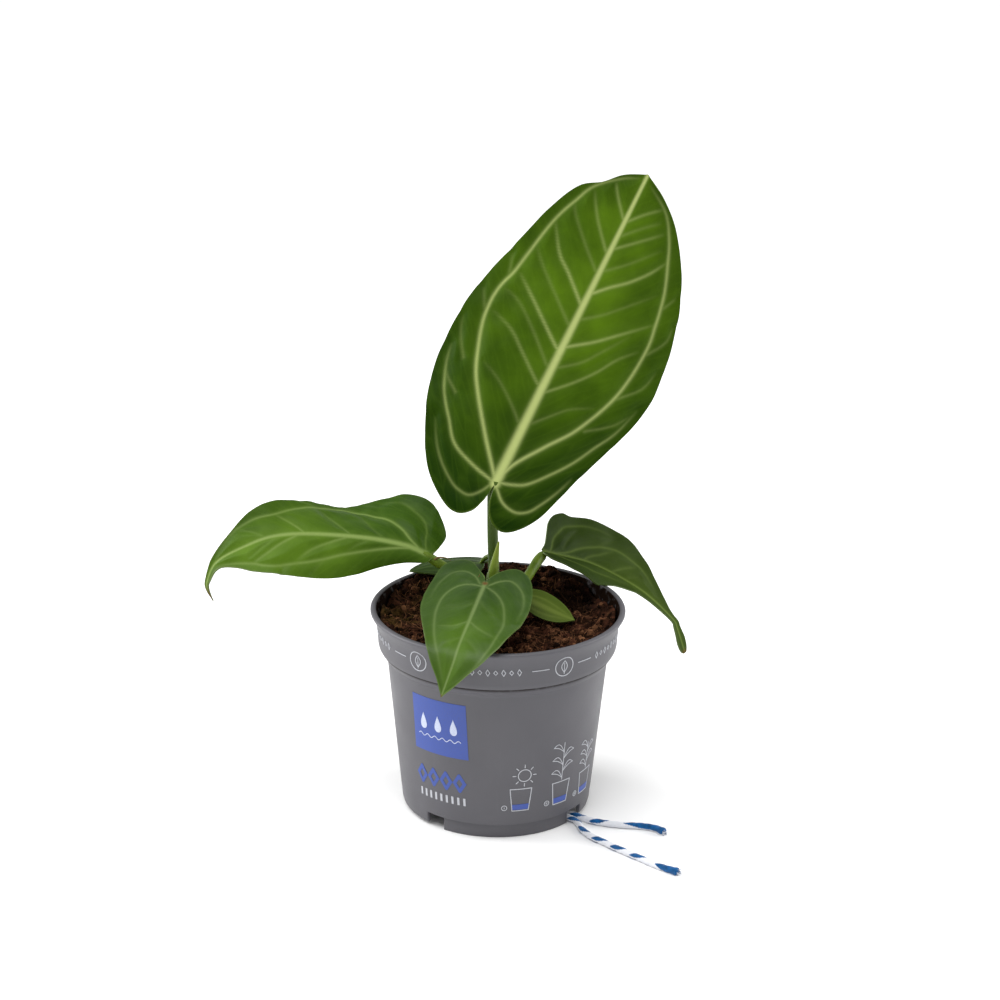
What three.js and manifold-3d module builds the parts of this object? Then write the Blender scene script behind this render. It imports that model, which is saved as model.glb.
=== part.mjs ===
// A young velvet-veined anthurium in a 12 cm nursery pot, with a two-ended cotton watering wick.
// Millimetres, +Z up. Everything is laid out about the pot's axis, and the finished group is
// then moved so that its origin lies under the middle of the whole plant.
import * as THREE from 'three';
import { mergeVertices } from 'three/addons/utils/BufferGeometryUtils.js';
import Module from 'manifold-3d';

const wasm = await Module();
wasm.setup();

// Where the pot's axis stands, seen from the middle of the plant's footprint
const POT_AXIS = [22.4, 4];

// Pot
const RIM_R = 60;
const POT_H = 99;
const WALL = 1.3;
const POT_SIDES = 48;
const CREASE_R = 52.2;
const CREASE_Z = 75.5;
const BAND_R = 56.4;
const BASE_R = 45;
const SKIRT_Z = 1.6;
const FLOOR_Z = 6.8;
const FLOOR_T = 1.3;
const FOOT_R = 43.4;
const FOOT_T = 3.4;
const FOOT_MID_DEG = 8.5;
const FOOT_HALF_DEG = 42.5;
const NOTCH_DEG = 11;
const NOTCH_TOP_Z = 6.5;
const DRAIN_R = 4.6;
const DRAIN_RING_R = 26;
const DRAIN_DEG = [56, 146, 236, 326];

// Soil
const SOIL_GAP = 0.3;
const SOIL_SIDE_GAP = 0.85;
const SOIL_Z = 92;
const SOIL_BACK_RISE = 4;
const SOIL_LUMP = 1.2;
const SOIL_CRUMB = 0.8;
// Hollows in the soil by the wall: place, size and depth
const HOLLOWS = [[42, 24, 13, 5.5], [-48, 10, 12, 3.5], [-34, -38, 12, 2]];
const SOIL_RINGS = 9;
const SOIL_SIDES = 40;
const HOLE_GAP = 0.4;
const HOLE_FLOOR_Z = 82;
const STEM_FOOT_Z = 83;

// Leaves
const BLADE_T = 0.9;
const STALK_SIDES = 8;
const STALK_STEPS = 14;
const TIP_HALF_W = 0.6;
// The stalk ends inside the blade, this far past the rib's start and this deep
const RIB_RUN = 1.2;
const RIB_DEPTH = 0.3;

// Wick
const WICK_D = 3;
const WICK_STEP = 7;
const WICK_HOLE_GAP = 0.5;

// Corners closer than this to a flat face or to each other are merged after the joins and cuts
const SLIVER = 0.02;

// Helpers

function rad(degrees) {
  return degrees * Math.PI / 180;
}

// A point at radius r, turned by degrees from the front (-Y) towards +X
function around(r, degrees, z = 0) {
  return new THREE.Vector3(r * Math.sin(rad(degrees)), -r * Math.cos(rad(degrees)), z);
}

// A closed mesh as a solid. Triangles flattened to a line are dropped, and a mesh that came out
// facing inward is turned.
function solid(geometry) {
  const bare = geometry.index ? geometry.toNonIndexed() : geometry.clone();
  bare.deleteAttribute('normal');
  bare.deleteAttribute('uv');
  const merged = mergeVertices(bare, 1e-4);
  const at = merged.attributes.position;
  const corner = (n) => new THREE.Vector3().fromBufferAttribute(at, n);
  const triangles = [];
  let volume = 0;
  for (let i = 0; i < merged.index.count; i += 3) {
    const [a, b, c] = [0, 1, 2].map((k) => merged.index.getX(i + k));
    if (a !== b && b !== c && c !== a) {
      triangles.push([a, b, c]);
      volume += corner(a).dot(corner(b).cross(corner(c)));
    }
  }
  const facing = triangles.map(([a, b, c]) => (volume < 0 ? [a, c, b] : [a, b, c]));
  return new wasm.Manifold(new wasm.Mesh({
    numProp: 3,
    vertProperties: new Float32Array(at.array),
    triVerts: new Uint32Array(facing.flat()),
  }));
}

// Slivers that the joins and cuts leave are dropped
function geometryOf(manifold) {
  const mesh = manifold.simplify(SLIVER).getMesh();
  const geometry = new THREE.BufferGeometry();
  geometry.setAttribute('position', new THREE.BufferAttribute(new Float32Array(mesh.vertProperties), 3));
  geometry.setIndex(new THREE.BufferAttribute(new Uint32Array(mesh.triVerts), 1));
  geometry.computeVertexNormals();
  return geometry;
}

// A round bar along a smooth path, with a radius for each end and any swelling between
function bar(points, radiusAt, sides, steps) {
  const path = new THREE.CatmullRomCurve3(points.map((p) => new THREE.Vector3(...p)), false, 'centripetal');
  const frames = path.computeFrenetFrames(steps, false);
  const positions = [];
  const index = [];
  for (let i = 0; i <= steps; i += 1) {
    const centre = path.getPointAt(i / steps);
    const r = radiusAt(i / steps);
    for (let k = 0; k < sides; k += 1) {
      const a = 2 * Math.PI * k / sides;
      const p = centre.clone()
        .addScaledVector(frames.normals[i], r * Math.cos(a))
        .addScaledVector(frames.binormals[i], r * Math.sin(a));
      positions.push(p.x, p.y, p.z);
    }
  }
  const first = path.getPointAt(0);
  const last = path.getPointAt(1);
  positions.push(first.x, first.y, first.z, last.x, last.y, last.z);
  const startHub = (steps + 1) * sides;
  for (let k = 0; k < sides; k += 1) {
    const next = (k + 1) % sides;
    for (let i = 0; i < steps; i += 1) {
      const a = i * sides + k;
      const b = i * sides + next;
      index.push(a, b, a + sides, b, b + sides, a + sides);
    }
    index.push(startHub, next, k);
    index.push(startHub + 1, steps * sides + k, steps * sides + next);
  }
  const geometry = new THREE.BufferGeometry();
  geometry.setAttribute('position', new THREE.BufferAttribute(new Float32Array(positions), 3));
  geometry.setIndex(index);
  return geometry;
}

// A smooth run through evenly spaced values, which may be numbers or lists of numbers
function through(values, t) {
  const spans = values.length - 1;
  const u = Math.min(Math.max(t, 0), 1) * spans;
  const i = Math.min(Math.floor(u), spans - 1);
  const f = u - i;
  const lists = values.map((v) => (Array.isArray(v) ? v : [v]));
  const extend = (a, b) => a.map((n, k) => 2 * n - b[k]);
  const p1 = lists[i];
  const p2 = lists[i + 1];
  const p0 = i > 0 ? lists[i - 1] : extend(p1, p2);
  const p3 = i + 2 <= spans ? lists[i + 2] : extend(p2, p1);
  return p1.map((_, k) => 0.5 * (2 * p1[k] + (p2[k] - p0[k]) * f
    + (2 * p0[k] - 5 * p1[k] + 4 * p2[k] - p3[k]) * f * f
    + (3 * p1[k] - p0[k] - 3 * p2[k] + p3[k]) * f * f * f));
}

// Pot

function potShell() {
  const slope = (CREASE_R - BASE_R) / (CREASE_Z - 4);
  const wallR = (z) => BASE_R + slope * (z - 4);
  const floorTop = FLOOR_Z + FLOOR_T;
  const profile = [
    [0, FLOOR_Z],
    [BASE_R - 2, FLOOR_Z],
    [BASE_R - 2, SKIRT_Z + 0.5],
    [BASE_R - 1.4, SKIRT_Z],
    [BASE_R - 0.5, SKIRT_Z + 0.4],
    [BASE_R, SKIRT_Z + 2.4],
    [wallR(30), 30],
    [CREASE_R, CREASE_Z],
    [CREASE_R + 1, CREASE_Z + 1],
    [BAND_R - 0.7, CREASE_Z + 4.8],
    [BAND_R, CREASE_Z + 7],
    [BAND_R + 0.4, POT_H - 9],
    [BAND_R + 1.6, POT_H - 5],
    [RIM_R - 0.6, POT_H - 2.4],
    [RIM_R, POT_H - 1.1],
    [RIM_R - 0.4, POT_H - 0.2],
    [RIM_R - 1, POT_H],
    [RIM_R - 2.1, POT_H],
    [RIM_R - 2.8, POT_H - 0.8],
    [BAND_R + 0.9 - WALL, POT_H - 6],
    [BAND_R - WALL, CREASE_Z + 7],
    [CREASE_R - WALL, CREASE_Z],
    [wallR(floorTop) - WALL, floorTop],
    [0, floorTop],
  ];
  return new THREE.LatheGeometry(profile.map(([r, z]) => new THREE.Vector2(r, z)), POT_SIDES)
    .rotateX(Math.PI / 2);
}

// A piece of a flat ring between two radii, two turns from the front and two heights
function ringPiece(inner, outer, fromDeg, toDeg, low, high) {
  const shape = new THREE.Shape();
  const start = rad(fromDeg - 90);
  const end = rad(toDeg - 90);
  shape.absarc(0, 0, outer, start, end, false);
  shape.absarc(0, 0, inner, end, start, true);
  return new THREE.ExtrudeGeometry(shape, { depth: high - low, bevelEnabled: false, curveSegments: 10 })
    .translate(0, 0, low);
}

function pot() {
  let body = solid(potShell());
  for (const half of [0, 180]) {
    const from = half + FOOT_MID_DEG - FOOT_HALF_DEG;
    const to = half + FOOT_MID_DEG + FOOT_HALF_DEG;
    const cuts = [[from, to, FLOOR_Z - 0.01], [to - 0.5, to + NOTCH_DEG, NOTCH_TOP_Z],
      [from - NOTCH_DEG, from + 0.5, NOTCH_TOP_Z]];
    for (const [start, end, top] of cuts) {
      body = body.subtract(solid(ringPiece(BASE_R - 6, BASE_R + 3, start, end, SKIRT_Z - 1, top)));
    }
    body = body.add(solid(ringPiece(FOOT_R - FOOT_T, FOOT_R, from, to, 0, FLOOR_Z + 0.6)));
  }
  for (const turn of DRAIN_DEG) {
    const drain = new THREE.CylinderGeometry(DRAIN_R, DRAIN_R, 12, 16).rotateX(Math.PI / 2);
    const at = around(DRAIN_RING_R, turn, FLOOR_Z);
    body = body.subtract(solid(drain.translate(at.x, at.y, at.z)));
  }
  return geometryOf(body);
}

// Soil

// Height of the soil: crumbly, and highest at the back
function soilHeight(x, y) {
  const dips = HOLLOWS.map(([cx, cy, size, depth]) => (
    depth * Math.exp(-((x - cx) ** 2 + (y - cy) ** 2) / size ** 2)));
  return SOIL_Z + SOIL_BACK_RISE * Math.exp(-((y - 46) ** 2) / 500)
    + SOIL_LUMP * Math.sin(x * 0.21 + 1.3) * Math.sin(y * 0.24 + 0.4)
    + SOIL_CRUMB * Math.sin(x * 0.47 + y * 0.31)
    - dips.reduce((sum, dip) => sum + dip, 0);
}

function soilBlock() {
  const positions = [];
  const index = [];
  const floorTop = FLOOR_Z + FLOOR_T + SOIL_GAP;
  const slope = (CREASE_R - BASE_R) / (CREASE_Z - 4);
  const sideR = (z) => (z > CREASE_Z ? BAND_R : BASE_R + slope * (z - 4)) - WALL - SOIL_SIDE_GAP;
  const levels = [
    [sideR(floorTop), floorTop],
    [sideR(CREASE_Z - 1), CREASE_Z - 1],
    [BAND_R - WALL - SOIL_SIDE_GAP, CREASE_Z + 8.4],
  ];
  const rows = [];
  const ring = (r, height) => {
    const row = [];
    for (let k = 0; k < SOIL_SIDES; k += 1) {
      const p = around(r, 360 * k / SOIL_SIDES);
      row.push(positions.length / 3);
      positions.push(p.x, p.y, height(p.x, p.y));
    }
    rows.push(row);
  };
  for (const [r, z] of levels) {
    ring(r, () => z);
  }
  for (let i = SOIL_RINGS; i > 0; i -= 1) {
    ring((BAND_R - WALL - SOIL_SIDE_GAP) * i / SOIL_RINGS, soilHeight);
  }
  for (let i = 0; i + 1 < rows.length; i += 1) {
    for (let k = 0; k < SOIL_SIDES; k += 1) {
      const n = (k + 1) % SOIL_SIDES;
      index.push(rows[i][k], rows[i][n], rows[i + 1][k], rows[i][n], rows[i + 1][n], rows[i + 1][k]);
    }
  }
  const top = positions.length / 3;
  positions.push(0, 0, soilHeight(0, 0), 0, 0, floorTop);
  const last = rows[rows.length - 1];
  for (let k = 0; k < SOIL_SIDES; k += 1) {
    const n = (k + 1) % SOIL_SIDES;
    index.push(top, last[k], last[n], top + 1, rows[0][n], rows[0][k]);
  }
  const geometry = new THREE.BufferGeometry();
  geometry.setAttribute('position', new THREE.BufferAttribute(new Float32Array(positions), 3));
  geometry.setIndex(index);
  return geometry;
}

// Leaf
// A blade is drawn flat first: x runs along the midrib from the leaf stalk to the tip, and each side
// has its own outline of [x, width] from the notch at the stalk, round the lobe, to the tip.
// It is then laid on the midrib in space. `face` is where the upper side looks, `fold` the angle
// at which each side leaves the midrib and `curl` how much further it turns by its margin.
class Blade {
  constructor(spec) {
    Object.assign(this, spec);
    const samples = 80;
    this.path = [];
    this.run = [0];
    for (let i = 0; i <= samples; i += 1) {
      this.path.push(new THREE.Vector3(...through(this.rib, i / samples)));
    }
    for (let i = 1; i <= samples; i += 1) {
      this.run.push(this.run[i - 1] + this.path[i].distanceTo(this.path[i - 1]));
    }
    this.length = this.run[samples];
  }

  ribPoint(x) {
    if (x <= 0) {
      const ahead = this.path[1].clone().sub(this.path[0]).normalize();
      return this.path[0].clone().addScaledVector(ahead, x);
    }
    let i = 1;
    while (i < this.run.length - 1 && this.run[i] < x) {
      i += 1;
    }
    const f = Math.min((x - this.run[i - 1]) / (this.run[i] - this.run[i - 1]), 1);
    return this.path[i - 1].clone().lerp(this.path[i], f);
  }

  axes(x) {
    const near = this.length * 0.01;
    const at = Math.min(Math.max(x, 0), this.length);
    const ahead = this.ribPoint(Math.min(at + near, this.length)).sub(this.ribPoint(Math.max(at - near, 0)));
    ahead.normalize();
    const up = new THREE.Vector3(...through(this.face, at / this.length));
    up.addScaledVector(ahead, -up.dot(ahead)).normalize();
    return { up, side: up.clone().cross(ahead) };
  }

  // Side is 0 or 1, and width the distance from the midrib on the flat blade
  point(x, width, side) {
    const t = Math.min(Math.max(x / this.length, 0), 1);
    const { up, side: out } = this.axes(x);
    const start = rad(through(this.fold[side], t)[0]);
    const turn = rad(through(this.curl[side], t)[0]) || 1e-4;
    const w = width / this.half;
    const across = this.half * (Math.sin(start + turn * w) - Math.sin(start)) / turn;
    const arch = -this.half * (Math.cos(start + turn * w) - Math.cos(start)) / turn;
    const [size, waves, shift] = this.wave;
    const ripple = size * w * w * Math.sin(2 * Math.PI * (waves * t + shift + 0.35 * side));
    return this.ribPoint(x).addScaledVector(out, side === 0 ? across : -across)
      .addScaledVector(up, arch + ripple);
  }

  normal(x, width, side) {
    const step = 0.2;
    if (width < step) {
      return this.axes(x).up;
    }
    const along = this.point(x + step, width, side).sub(this.point(x - step, width, side));
    const across = this.point(x, width + step, side).sub(this.point(x, width - step, side));
    return along.cross(across).multiplyScalar(side === 0 ? 1 : -1).normalize();
  }

  // Flat places of one row, from margin to margin. Rows of the lobes all start at the stalk.
  row(i) {
    const edges = this.outline.map((side) => through(side, i / this.rows));
    const foot = Math.min(Math.max((edges[0][0] + edges[1][0]) / 2, 0), this.length);
    const places = [];
    for (let k = -this.across; k <= this.across; k += 1) {
      const side = k < 0 ? 0 : 1;
      const v = Math.abs(k) / this.across;
      const x = foot + (edges[side][0] - foot) * v;
      places.push([x, Math.max(edges[side][1], TIP_HALF_W) * v, side]);
    }
    return places;
  }
}

// The blade as a thin closed body: the same triangles on both faces, with a band round the margin
function bladeSolid(spec) {
  const blade = new Blade(spec);
  const { rows, across } = spec;
  const columns = 2 * across + 1;
  const count = (rows + 1) * columns;
  const faces = [[], []];
  for (let i = 0; i <= rows; i += 1) {
    for (const place of blade.row(i)) {
      const p = blade.point(...place);
      const lift = blade.normal(...place).multiplyScalar(BLADE_T / 2);
      faces[0].push(...p.clone().add(lift).toArray());
      faces[1].push(...p.clone().sub(lift).toArray());
    }
  }
  const index = [];
  const upper = (i, k) => i * columns + k;
  const lower = (i, k) => count + upper(i, k);
  const band = (i, k, j, m) => index.push(
    upper(i, k), lower(i, k), upper(j, m), upper(j, m), lower(i, k), lower(j, m));
  for (let i = 0; i < rows; i += 1) {
    for (let k = 0; k + 1 < columns; k += 1) {
      // Each diagonal runs outward and towards the tip
      const [a, b, c, d] = k < across
        ? [[i, k + 1], [i + 1, k + 1], [i + 1, k], [i, k]]
        : [[i + 1, k], [i + 1, k + 1], [i, k + 1], [i, k]];
      const turn = k < across ? [a, b, c, a, c, d] : [d, b, a, d, c, b];
      const under = [turn[2], turn[1], turn[0], turn[5], turn[4], turn[3]];
      index.push(...turn.map(([r, s]) => upper(r, s)), ...under.map(([r, s]) => lower(r, s)));
    }
    band(i + 1, 0, i, 0);
    band(i, columns - 1, i + 1, columns - 1);
  }
  for (let k = 0; k + 1 < columns; k += 1) {
    band(0, k, 0, k + 1);
    band(rows, k + 1, rows, k);
  }
  const geometry = new THREE.BufferGeometry();
  geometry.setAttribute('position', new THREE.BufferAttribute(new Float32Array(faces.flat()), 3));
  geometry.setIndex(index);
  return solid(geometry);
}

// A stem's path with its straight foot in the soil
function rooted(path) {
  const [x, y] = path[0];
  return [[x, y, STEM_FOOT_Z], [x, y, STEM_FOOT_Z + 7], ...path];
}

// The stalk stands upright in the soil, comes to the back of the blade and narrows into its rib
function stalkSolid(spec) {
  const blade = new Blade(spec);
  const end = blade.ribPoint(RIB_RUN).addScaledVector(blade.axes(RIB_RUN).up, -RIB_DEPTH);
  const path = [...rooted(spec.stalk), end.toArray()];
  const [footR, topR] = spec.stalkR;
  const neck = (t) => 1 - 0.6 * Math.max(0, (t - 0.88) / 0.12);
  return solid(bar(path, (t) => (footR + (topR - footR) * t) * neck(t), STALK_SIDES, STALK_STEPS));
}

function leaf(spec) {
  return geometryOf(bladeSolid(spec).add(stalkSolid(spec)));
}

const LEAVES = {
  // The tall leaf that faces the room
  leaf_upright: {
    rib: [[-2, 4, 158.5], [20.5, 18, 203.5], [44, 32, 250], [67, 42, 297]],
    face: [[0, -1, 0.3], [0, -1, 0.35], [0, -1, 0.4]],
    fold: [[-4, -4, -4], [-4, -4, -4]],
    curl: [[-20, -20, -20], [-20, -20, -20]],
    half: 48,
    rows: 26,
    across: 5,
    wave: [1.5, 3, 0],
    outline: [
      [[-9, 1.2], [-16, 4], [-20, 10], [-18, 18], [-9, 30], [4, 39], [25, 48.5], [50, 52.5], [75, 50.5],
        [100, 43], [124, 35], [140, 27], [147, 17.5], [154, 10], [159, 0]],
      [[-9, 1.2], [-16, 5], [-19, 12], [-15, 19], [-5.5, 26], [8, 31], [28, 38], [50, 47], [70, 50],
        [92, 47], [108, 42.5], [126, 34], [142, 23], [152, 12], [159, 0]],
    ],
    stalk: [[-1.5, 7, 96], [-2.4, 7.4, 120], [-3, 7.6, 138], [-2.9, 7, 151]],
    stalkR: [2.8, 2.4],
    colour: 0x3f6b22,
  },
  // The long leaf to the left, with its tip drawn out and curled down
  leaf_left: {
    rib: [[-34.5, 13, 120], [-44.5, 12, 124.5], [-62, 9, 129], [-88, 4, 132.5], [-105, 0, 132.5],
      [-118, -3, 128.5], [-131, -5, 121.5], [-135.5, -6, 112.5], [-135.5, -6, 107.5], [-132.5, -6, 101]],
    face: [[0.1, -0.5, 1], [0, -0.6, 1], [-0.5, -0.6, 0.6]],
    fold: [[-5, -14, -8, -5], [14, -14, -4, 10, 0]],
    curl: [[-220, -50, -15, -10], [-5, -15, -5, -5]],
    half: 26,
    rows: 26,
    across: 4,
    wave: [0, 1, 0],
    outline: [
      [[-3.5, 1], [-3, 4], [-1, 7.5], [4, 10], [14, 13], [24, 16.5], [36, 19.5], [50, 21.5], [66, 21],
        [80, 18], [88, 14], [95, 8.5], [103, 4], [113, 1.6], [123.5, 0]],
      [[-3.5, 1], [-5.5, 5.5], [-7, 12], [-4, 19], [2, 27], [13, 33.5], [25, 33.5], [40, 29], [56, 25],
        [70, 21], [82, 15.6], [95, 8], [105, 2.5], [114, 1.2], [123.5, 0]],
    ],
    stalk: [[-8.5, 5.5, 96], [-12, 7.5, 102], [-22.5, 12.5, 111.5], [-29.5, 13.5, 115.8]],
    stalkR: [2.4, 2],
    colour: 0x5c8a2c,
  },
  // The leaf to the right, folded along its rib, resting over the rim with its tip hanging
  leaf_right: {
    rib: [[21.5, 27, 116.5], [30.5, 32, 112.5], [44, 38.5, 106.5], [58, 42, 98.5], [72, 42, 89.5],
      [85, 40, 77.5], [87.5, 39, 73], [91.5, 37, 61]],
    face: [[0, -0.35, 1], [0.2, -0.35, 1], [0.6, -0.35, 0.6]],
    fold: [[25, 25, 10, 0], [12, 17, 2, -15]],
    curl: [[-5, -10, -10, -10], [-40, -45, -30, -20]],
    half: 26,
    rows: 26,
    across: 4,
    wave: [0, 1, 0],
    outline: [
      [[-1, 1], [1.5, 5], [3.5, 11], [5.5, 17], [9, 22], [14.5, 24.3], [19, 23.4], [28, 24.6], [44, 23],
        [53, 17.5], [61, 11], [70, 5], [77, 2.4], [84, 2], [90, 2.6], [97, 0]],
      [[-1, 1], [-2, 3.5], [0, 7], [4, 9], [9, 10.5], [15, 13], [24, 16], [31, 14.5], [43, 9.5],
        [53, 5.5], [61, 3.8], [70, 2.6], [79, 1.6], [87, 2], [91, 2.4], [97, 0]],
    ],
    stalk: [[6, 5, 96], [9.5, 8.5, 103], [14.5, 14, 109.5], [19, 22, 114]],
    stalkR: [2.2, 1.9],
    colour: 0x426b22,
  },
  // The heart-shaped leaf in front, laid over the rim
  leaf_front: {
    rib: [[-6, -12, 115], [-12, -35, 108], [-17, -57, 103], [-20, -65, 96], [-26, -69, 79]],
    face: [[0, -0.35, 1], [-0.1, -0.5, 1], [-0.35, -1, 0.35]],
    fold: [[-2, 4, 4], [-2, 4, 4]],
    curl: [[-18, -8, -10], [-18, -8, -10]],
    half: 27,
    rows: 20,
    across: 4,
    wave: [0, 1, 0],
    outline: [
      [[-4, 1.2], [-8.5, 4.2], [-13, 9], [-14, 14], [-10, 19], [-1, 22.5], [16, 24.2], [33, 22.5], [49, 18],
        [60, 9], [69, 3.5], [74.5, 0]],
      [[-4, 1.2], [-8.5, 5], [-14, 10], [-15.5, 15], [-13.5, 20], [-8, 24], [6, 26.2], [22, 24.8], [38, 19.6],
        [58, 12], [68, 4.5], [74.5, 0]],
    ],
    stalk: [[-6, -5, 96], [-6.6, -5.6, 103], [-6.8, -7.5, 110]],
    stalkR: [1.9, 1.5],
    colour: 0x4d7530,
  },
  // A small leaf lying low over the rim at the back left
  leaf_back: {
    rib: [[-8, 38, 106], [-17, 43, 104], [-30, 44, 102.3], [-43, 40, 100.8]],
    face: [[0, -0.1, 1], [0, -0.1, 1], [0, -0.1, 1]],
    fold: [[-4, -4], [-4, -4]],
    curl: [[-15, -15], [-15, -15]],
    half: 11,
    rows: 12,
    across: 3,
    wave: [0, 1, 0],
    outline: [
      [[-2, 1.2], [-3.5, 4.5], [-3, 8], [1, 10.5], [10, 11], [22, 9], [32, 4.5], [38, 0]],
      [[-2, 1.2], [-3.5, 4.5], [-3, 8], [1, 10.5], [10, 11], [22, 9], [32, 4.5], [38, 0]],
    ],
    stalk: [[0, 13.5, 96], [-0.6, 19, 105], [-2.5, 28, 112.5], [-6, 35.6, 110]],
    stalkR: [1.3, 1],
    colour: 0x35571c,
  },
  // A narrow young leaf lying on the soil
  leaf_low: {
    rib: [[10.5, -1, 104.5], [17.5, -3, 102], [26.5, -5.5, 98.5], [37, -8.5, 95]],
    face: [[0, -0.5, 1], [0, -0.5, 1], [0, -0.35, 1]],
    fold: [[-4, -4], [-4, -4]],
    curl: [[-15, -15], [-15, -15]],
    half: 9,
    rows: 10,
    across: 3,
    wave: [0, 1, 0],
    outline: [
      [[0, 1], [3, 4.5], [9, 8], [17, 7.5], [23, 4], [28, 0]],
      [[0, 1], [3, 3.5], [9, 6], [17, 6], [23, 4], [28, 0]],
    ],
    stalk: [[3.8, -1.8, 96], [4.8, -1.4, 101]],
    stalkR: [1.6, 1.3],
    colour: 0x5f8535,
  },
};

// The next leaf, still rolled to a spike in front of the tall stalk
const SPIKE = [[-3, 0.5, 96], [-3.2, 0, 108], [-2, 0.8, 119], [0, 2, 130.5]];
const SPIKE_R = 3.2;
const SPIKE_TIP_R = 0.4;
const SPIKE_TAPER_FROM = 0.4;

function spikeRadius(t) {
  const taper = Math.max(0, (t - SPIKE_TAPER_FROM) / (1 - SPIKE_TAPER_FROM));
  return SPIKE_R * (1 - taper ** 1.6) + SPIKE_TIP_R * taper;
}

function spike() {
  return geometryOf(solid(bar(rooted(SPIKE), spikeRadius, STALK_SIDES, STALK_STEPS)));
}

// Wick: two ends come down through one drain hole, under the pot and out at the notch

const WICK_ENDS = {
  wick_end_front: [[20.3, -16.3, 8.6], [20.3, -16.3, 7.6], [21, -16.8, 4.6], [22.8, -18, 2.4],
    [25.3, -19.5, 1.6], [31.2, -22.9, 1.6], [36.6, -26.6, 1.6], [39.2, -31.4, 1.6], [40.8, -37.4, 1.6],
    [43.8, -43, 1.6], [48.8, -48.4, 1.6], [57.6, -57.2, 1.6], [65.4, -64.5, 1.6], [73, -71.8, 1.6],
    [78.5, -76, 1.6], [83, -78.7, 1.6]],
  wick_end_back: [[22.7, -12.7, 8.6], [22.7, -12.7, 7.6], [23.4, -13.2, 4.6], [25.2, -14.4, 2.4],
    [27.7, -16, 1.6], [33.4, -19.7, 1.6], [38.7, -23.2, 1.6], [43.6, -26.8, 1.6], [49.6, -29.7, 1.6],
    [58.7, -32, 1.6], [69.5, -33.2, 1.6], [75, -35.2, 1.6], [79, -38.9, 1.6]],
};
// Within the soil it is one loop
const WICK_LOOP = [[20.3, -16.3, 9.1], [20.3, -16.4, 14], [16, -21.5, 32], [14.5, -19.5, 48],
  [19.5, -12, 58], [25.5, -6, 48], [26.5, -7.5, 32], [22.7, -12.6, 14], [22.7, -12.7, 9.1]];

function wickBar(points, radius) {
  const length = new THREE.CatmullRomCurve3(points.map((p) => new THREE.Vector3(...p))).getLength();
  return solid(bar(points, () => radius, STALK_SIDES, Math.round(length / WICK_STEP)));
}

// Soil with a plain hole for each stalk and the wick's channel
function soil() {
  let block = solid(soilBlock());
  const stalks = Object.values(LEAVES).map(({ stalk, stalkR }) => [stalk[0], stalkR[0]]);
  stalks.push([SPIKE[0], SPIKE_R]);
  for (const [[x, y], r] of stalks) {
    const wide = (r + HOLE_GAP) / Math.cos(Math.PI / 12);
    const hole = new THREE.CylinderGeometry(wide, wide, 20, 12).rotateX(Math.PI / 2);
    block = block.subtract(solid(hole.translate(x, y, HOLE_FLOOR_Z + 10)));
  }
  const channelR = WICK_D / 2 + WICK_HOLE_GAP;
  block = block.subtract(wickBar(WICK_LOOP, channelR));
  for (const [x, y, z] of [WICK_LOOP[0], WICK_LOOP[WICK_LOOP.length - 1]]) {
    const mouth = new THREE.CylinderGeometry(channelR + 0.1, channelR + 0.1, 4, 16).rotateX(Math.PI / 2);
    block = block.subtract(solid(mouth.translate(x, y, z)));
  }
  return geometryOf(block);
}

// The plant

const plant = new THREE.Group();
plant.position.set(POT_AXIS[0], POT_AXIS[1], 0);

function piece(name, geometry, color, roughness) {
  const mesh = new THREE.Mesh(geometry, new THREE.MeshStandardMaterial({ color, roughness, metalness: 0 }));
  mesh.name = name;
  plant.add(mesh);
}

piece('pot', pot(), 0x68686a, 0.55);
piece('soil', soil(), 0x3a2317, 0.95);
for (const [name, spec] of Object.entries(LEAVES)) {
  piece(name, leaf(spec), spec.colour, 0.4);
}
piece('new_leaf', spike(), 0x7d9a3c, 0.4);
for (const [name, route] of Object.entries(WICK_ENDS)) {
  piece(name, geometryOf(wickBar(route, WICK_D / 2)), 0xe6e6ea, 0.85);
}
piece('wick_loop', geometryOf(wickBar(WICK_LOOP, WICK_D / 2)), 0xe6e6ea, 0.85);

export default plant;
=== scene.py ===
"""A young velvet-veined anthurium in a nursery pot, with a cotton watering wick.

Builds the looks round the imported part. Lengths in the tables are in millimetres about the pot's
axis, as in the part's source, and become metres when a mesh is made.
"""

import math

import bpy
import numpy as np
from mathutils import Matrix, Vector, noise


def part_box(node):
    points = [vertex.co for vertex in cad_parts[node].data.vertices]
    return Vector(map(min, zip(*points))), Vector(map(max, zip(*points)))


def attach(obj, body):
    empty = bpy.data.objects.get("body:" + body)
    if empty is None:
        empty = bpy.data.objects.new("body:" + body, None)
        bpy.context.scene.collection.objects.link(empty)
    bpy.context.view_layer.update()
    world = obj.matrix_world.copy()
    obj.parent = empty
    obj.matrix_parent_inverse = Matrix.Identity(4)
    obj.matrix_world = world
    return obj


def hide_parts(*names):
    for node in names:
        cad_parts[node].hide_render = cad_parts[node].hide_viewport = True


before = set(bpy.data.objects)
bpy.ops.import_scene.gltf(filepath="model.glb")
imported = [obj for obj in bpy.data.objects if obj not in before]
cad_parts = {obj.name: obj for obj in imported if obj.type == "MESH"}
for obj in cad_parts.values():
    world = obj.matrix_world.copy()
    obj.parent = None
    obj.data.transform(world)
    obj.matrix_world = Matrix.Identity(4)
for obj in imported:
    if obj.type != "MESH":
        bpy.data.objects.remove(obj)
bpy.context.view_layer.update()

bl_info = {
    "name": "Potted anthurium",
    "version": (1, 0, 0),
    "blender": (4, 5, 0),
    "location": "3D View > Sidebar > Anthurium",
    "description": "Leaves, pot, soil and wick of a young anthurium",
    "category": "Add Mesh",
}

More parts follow.
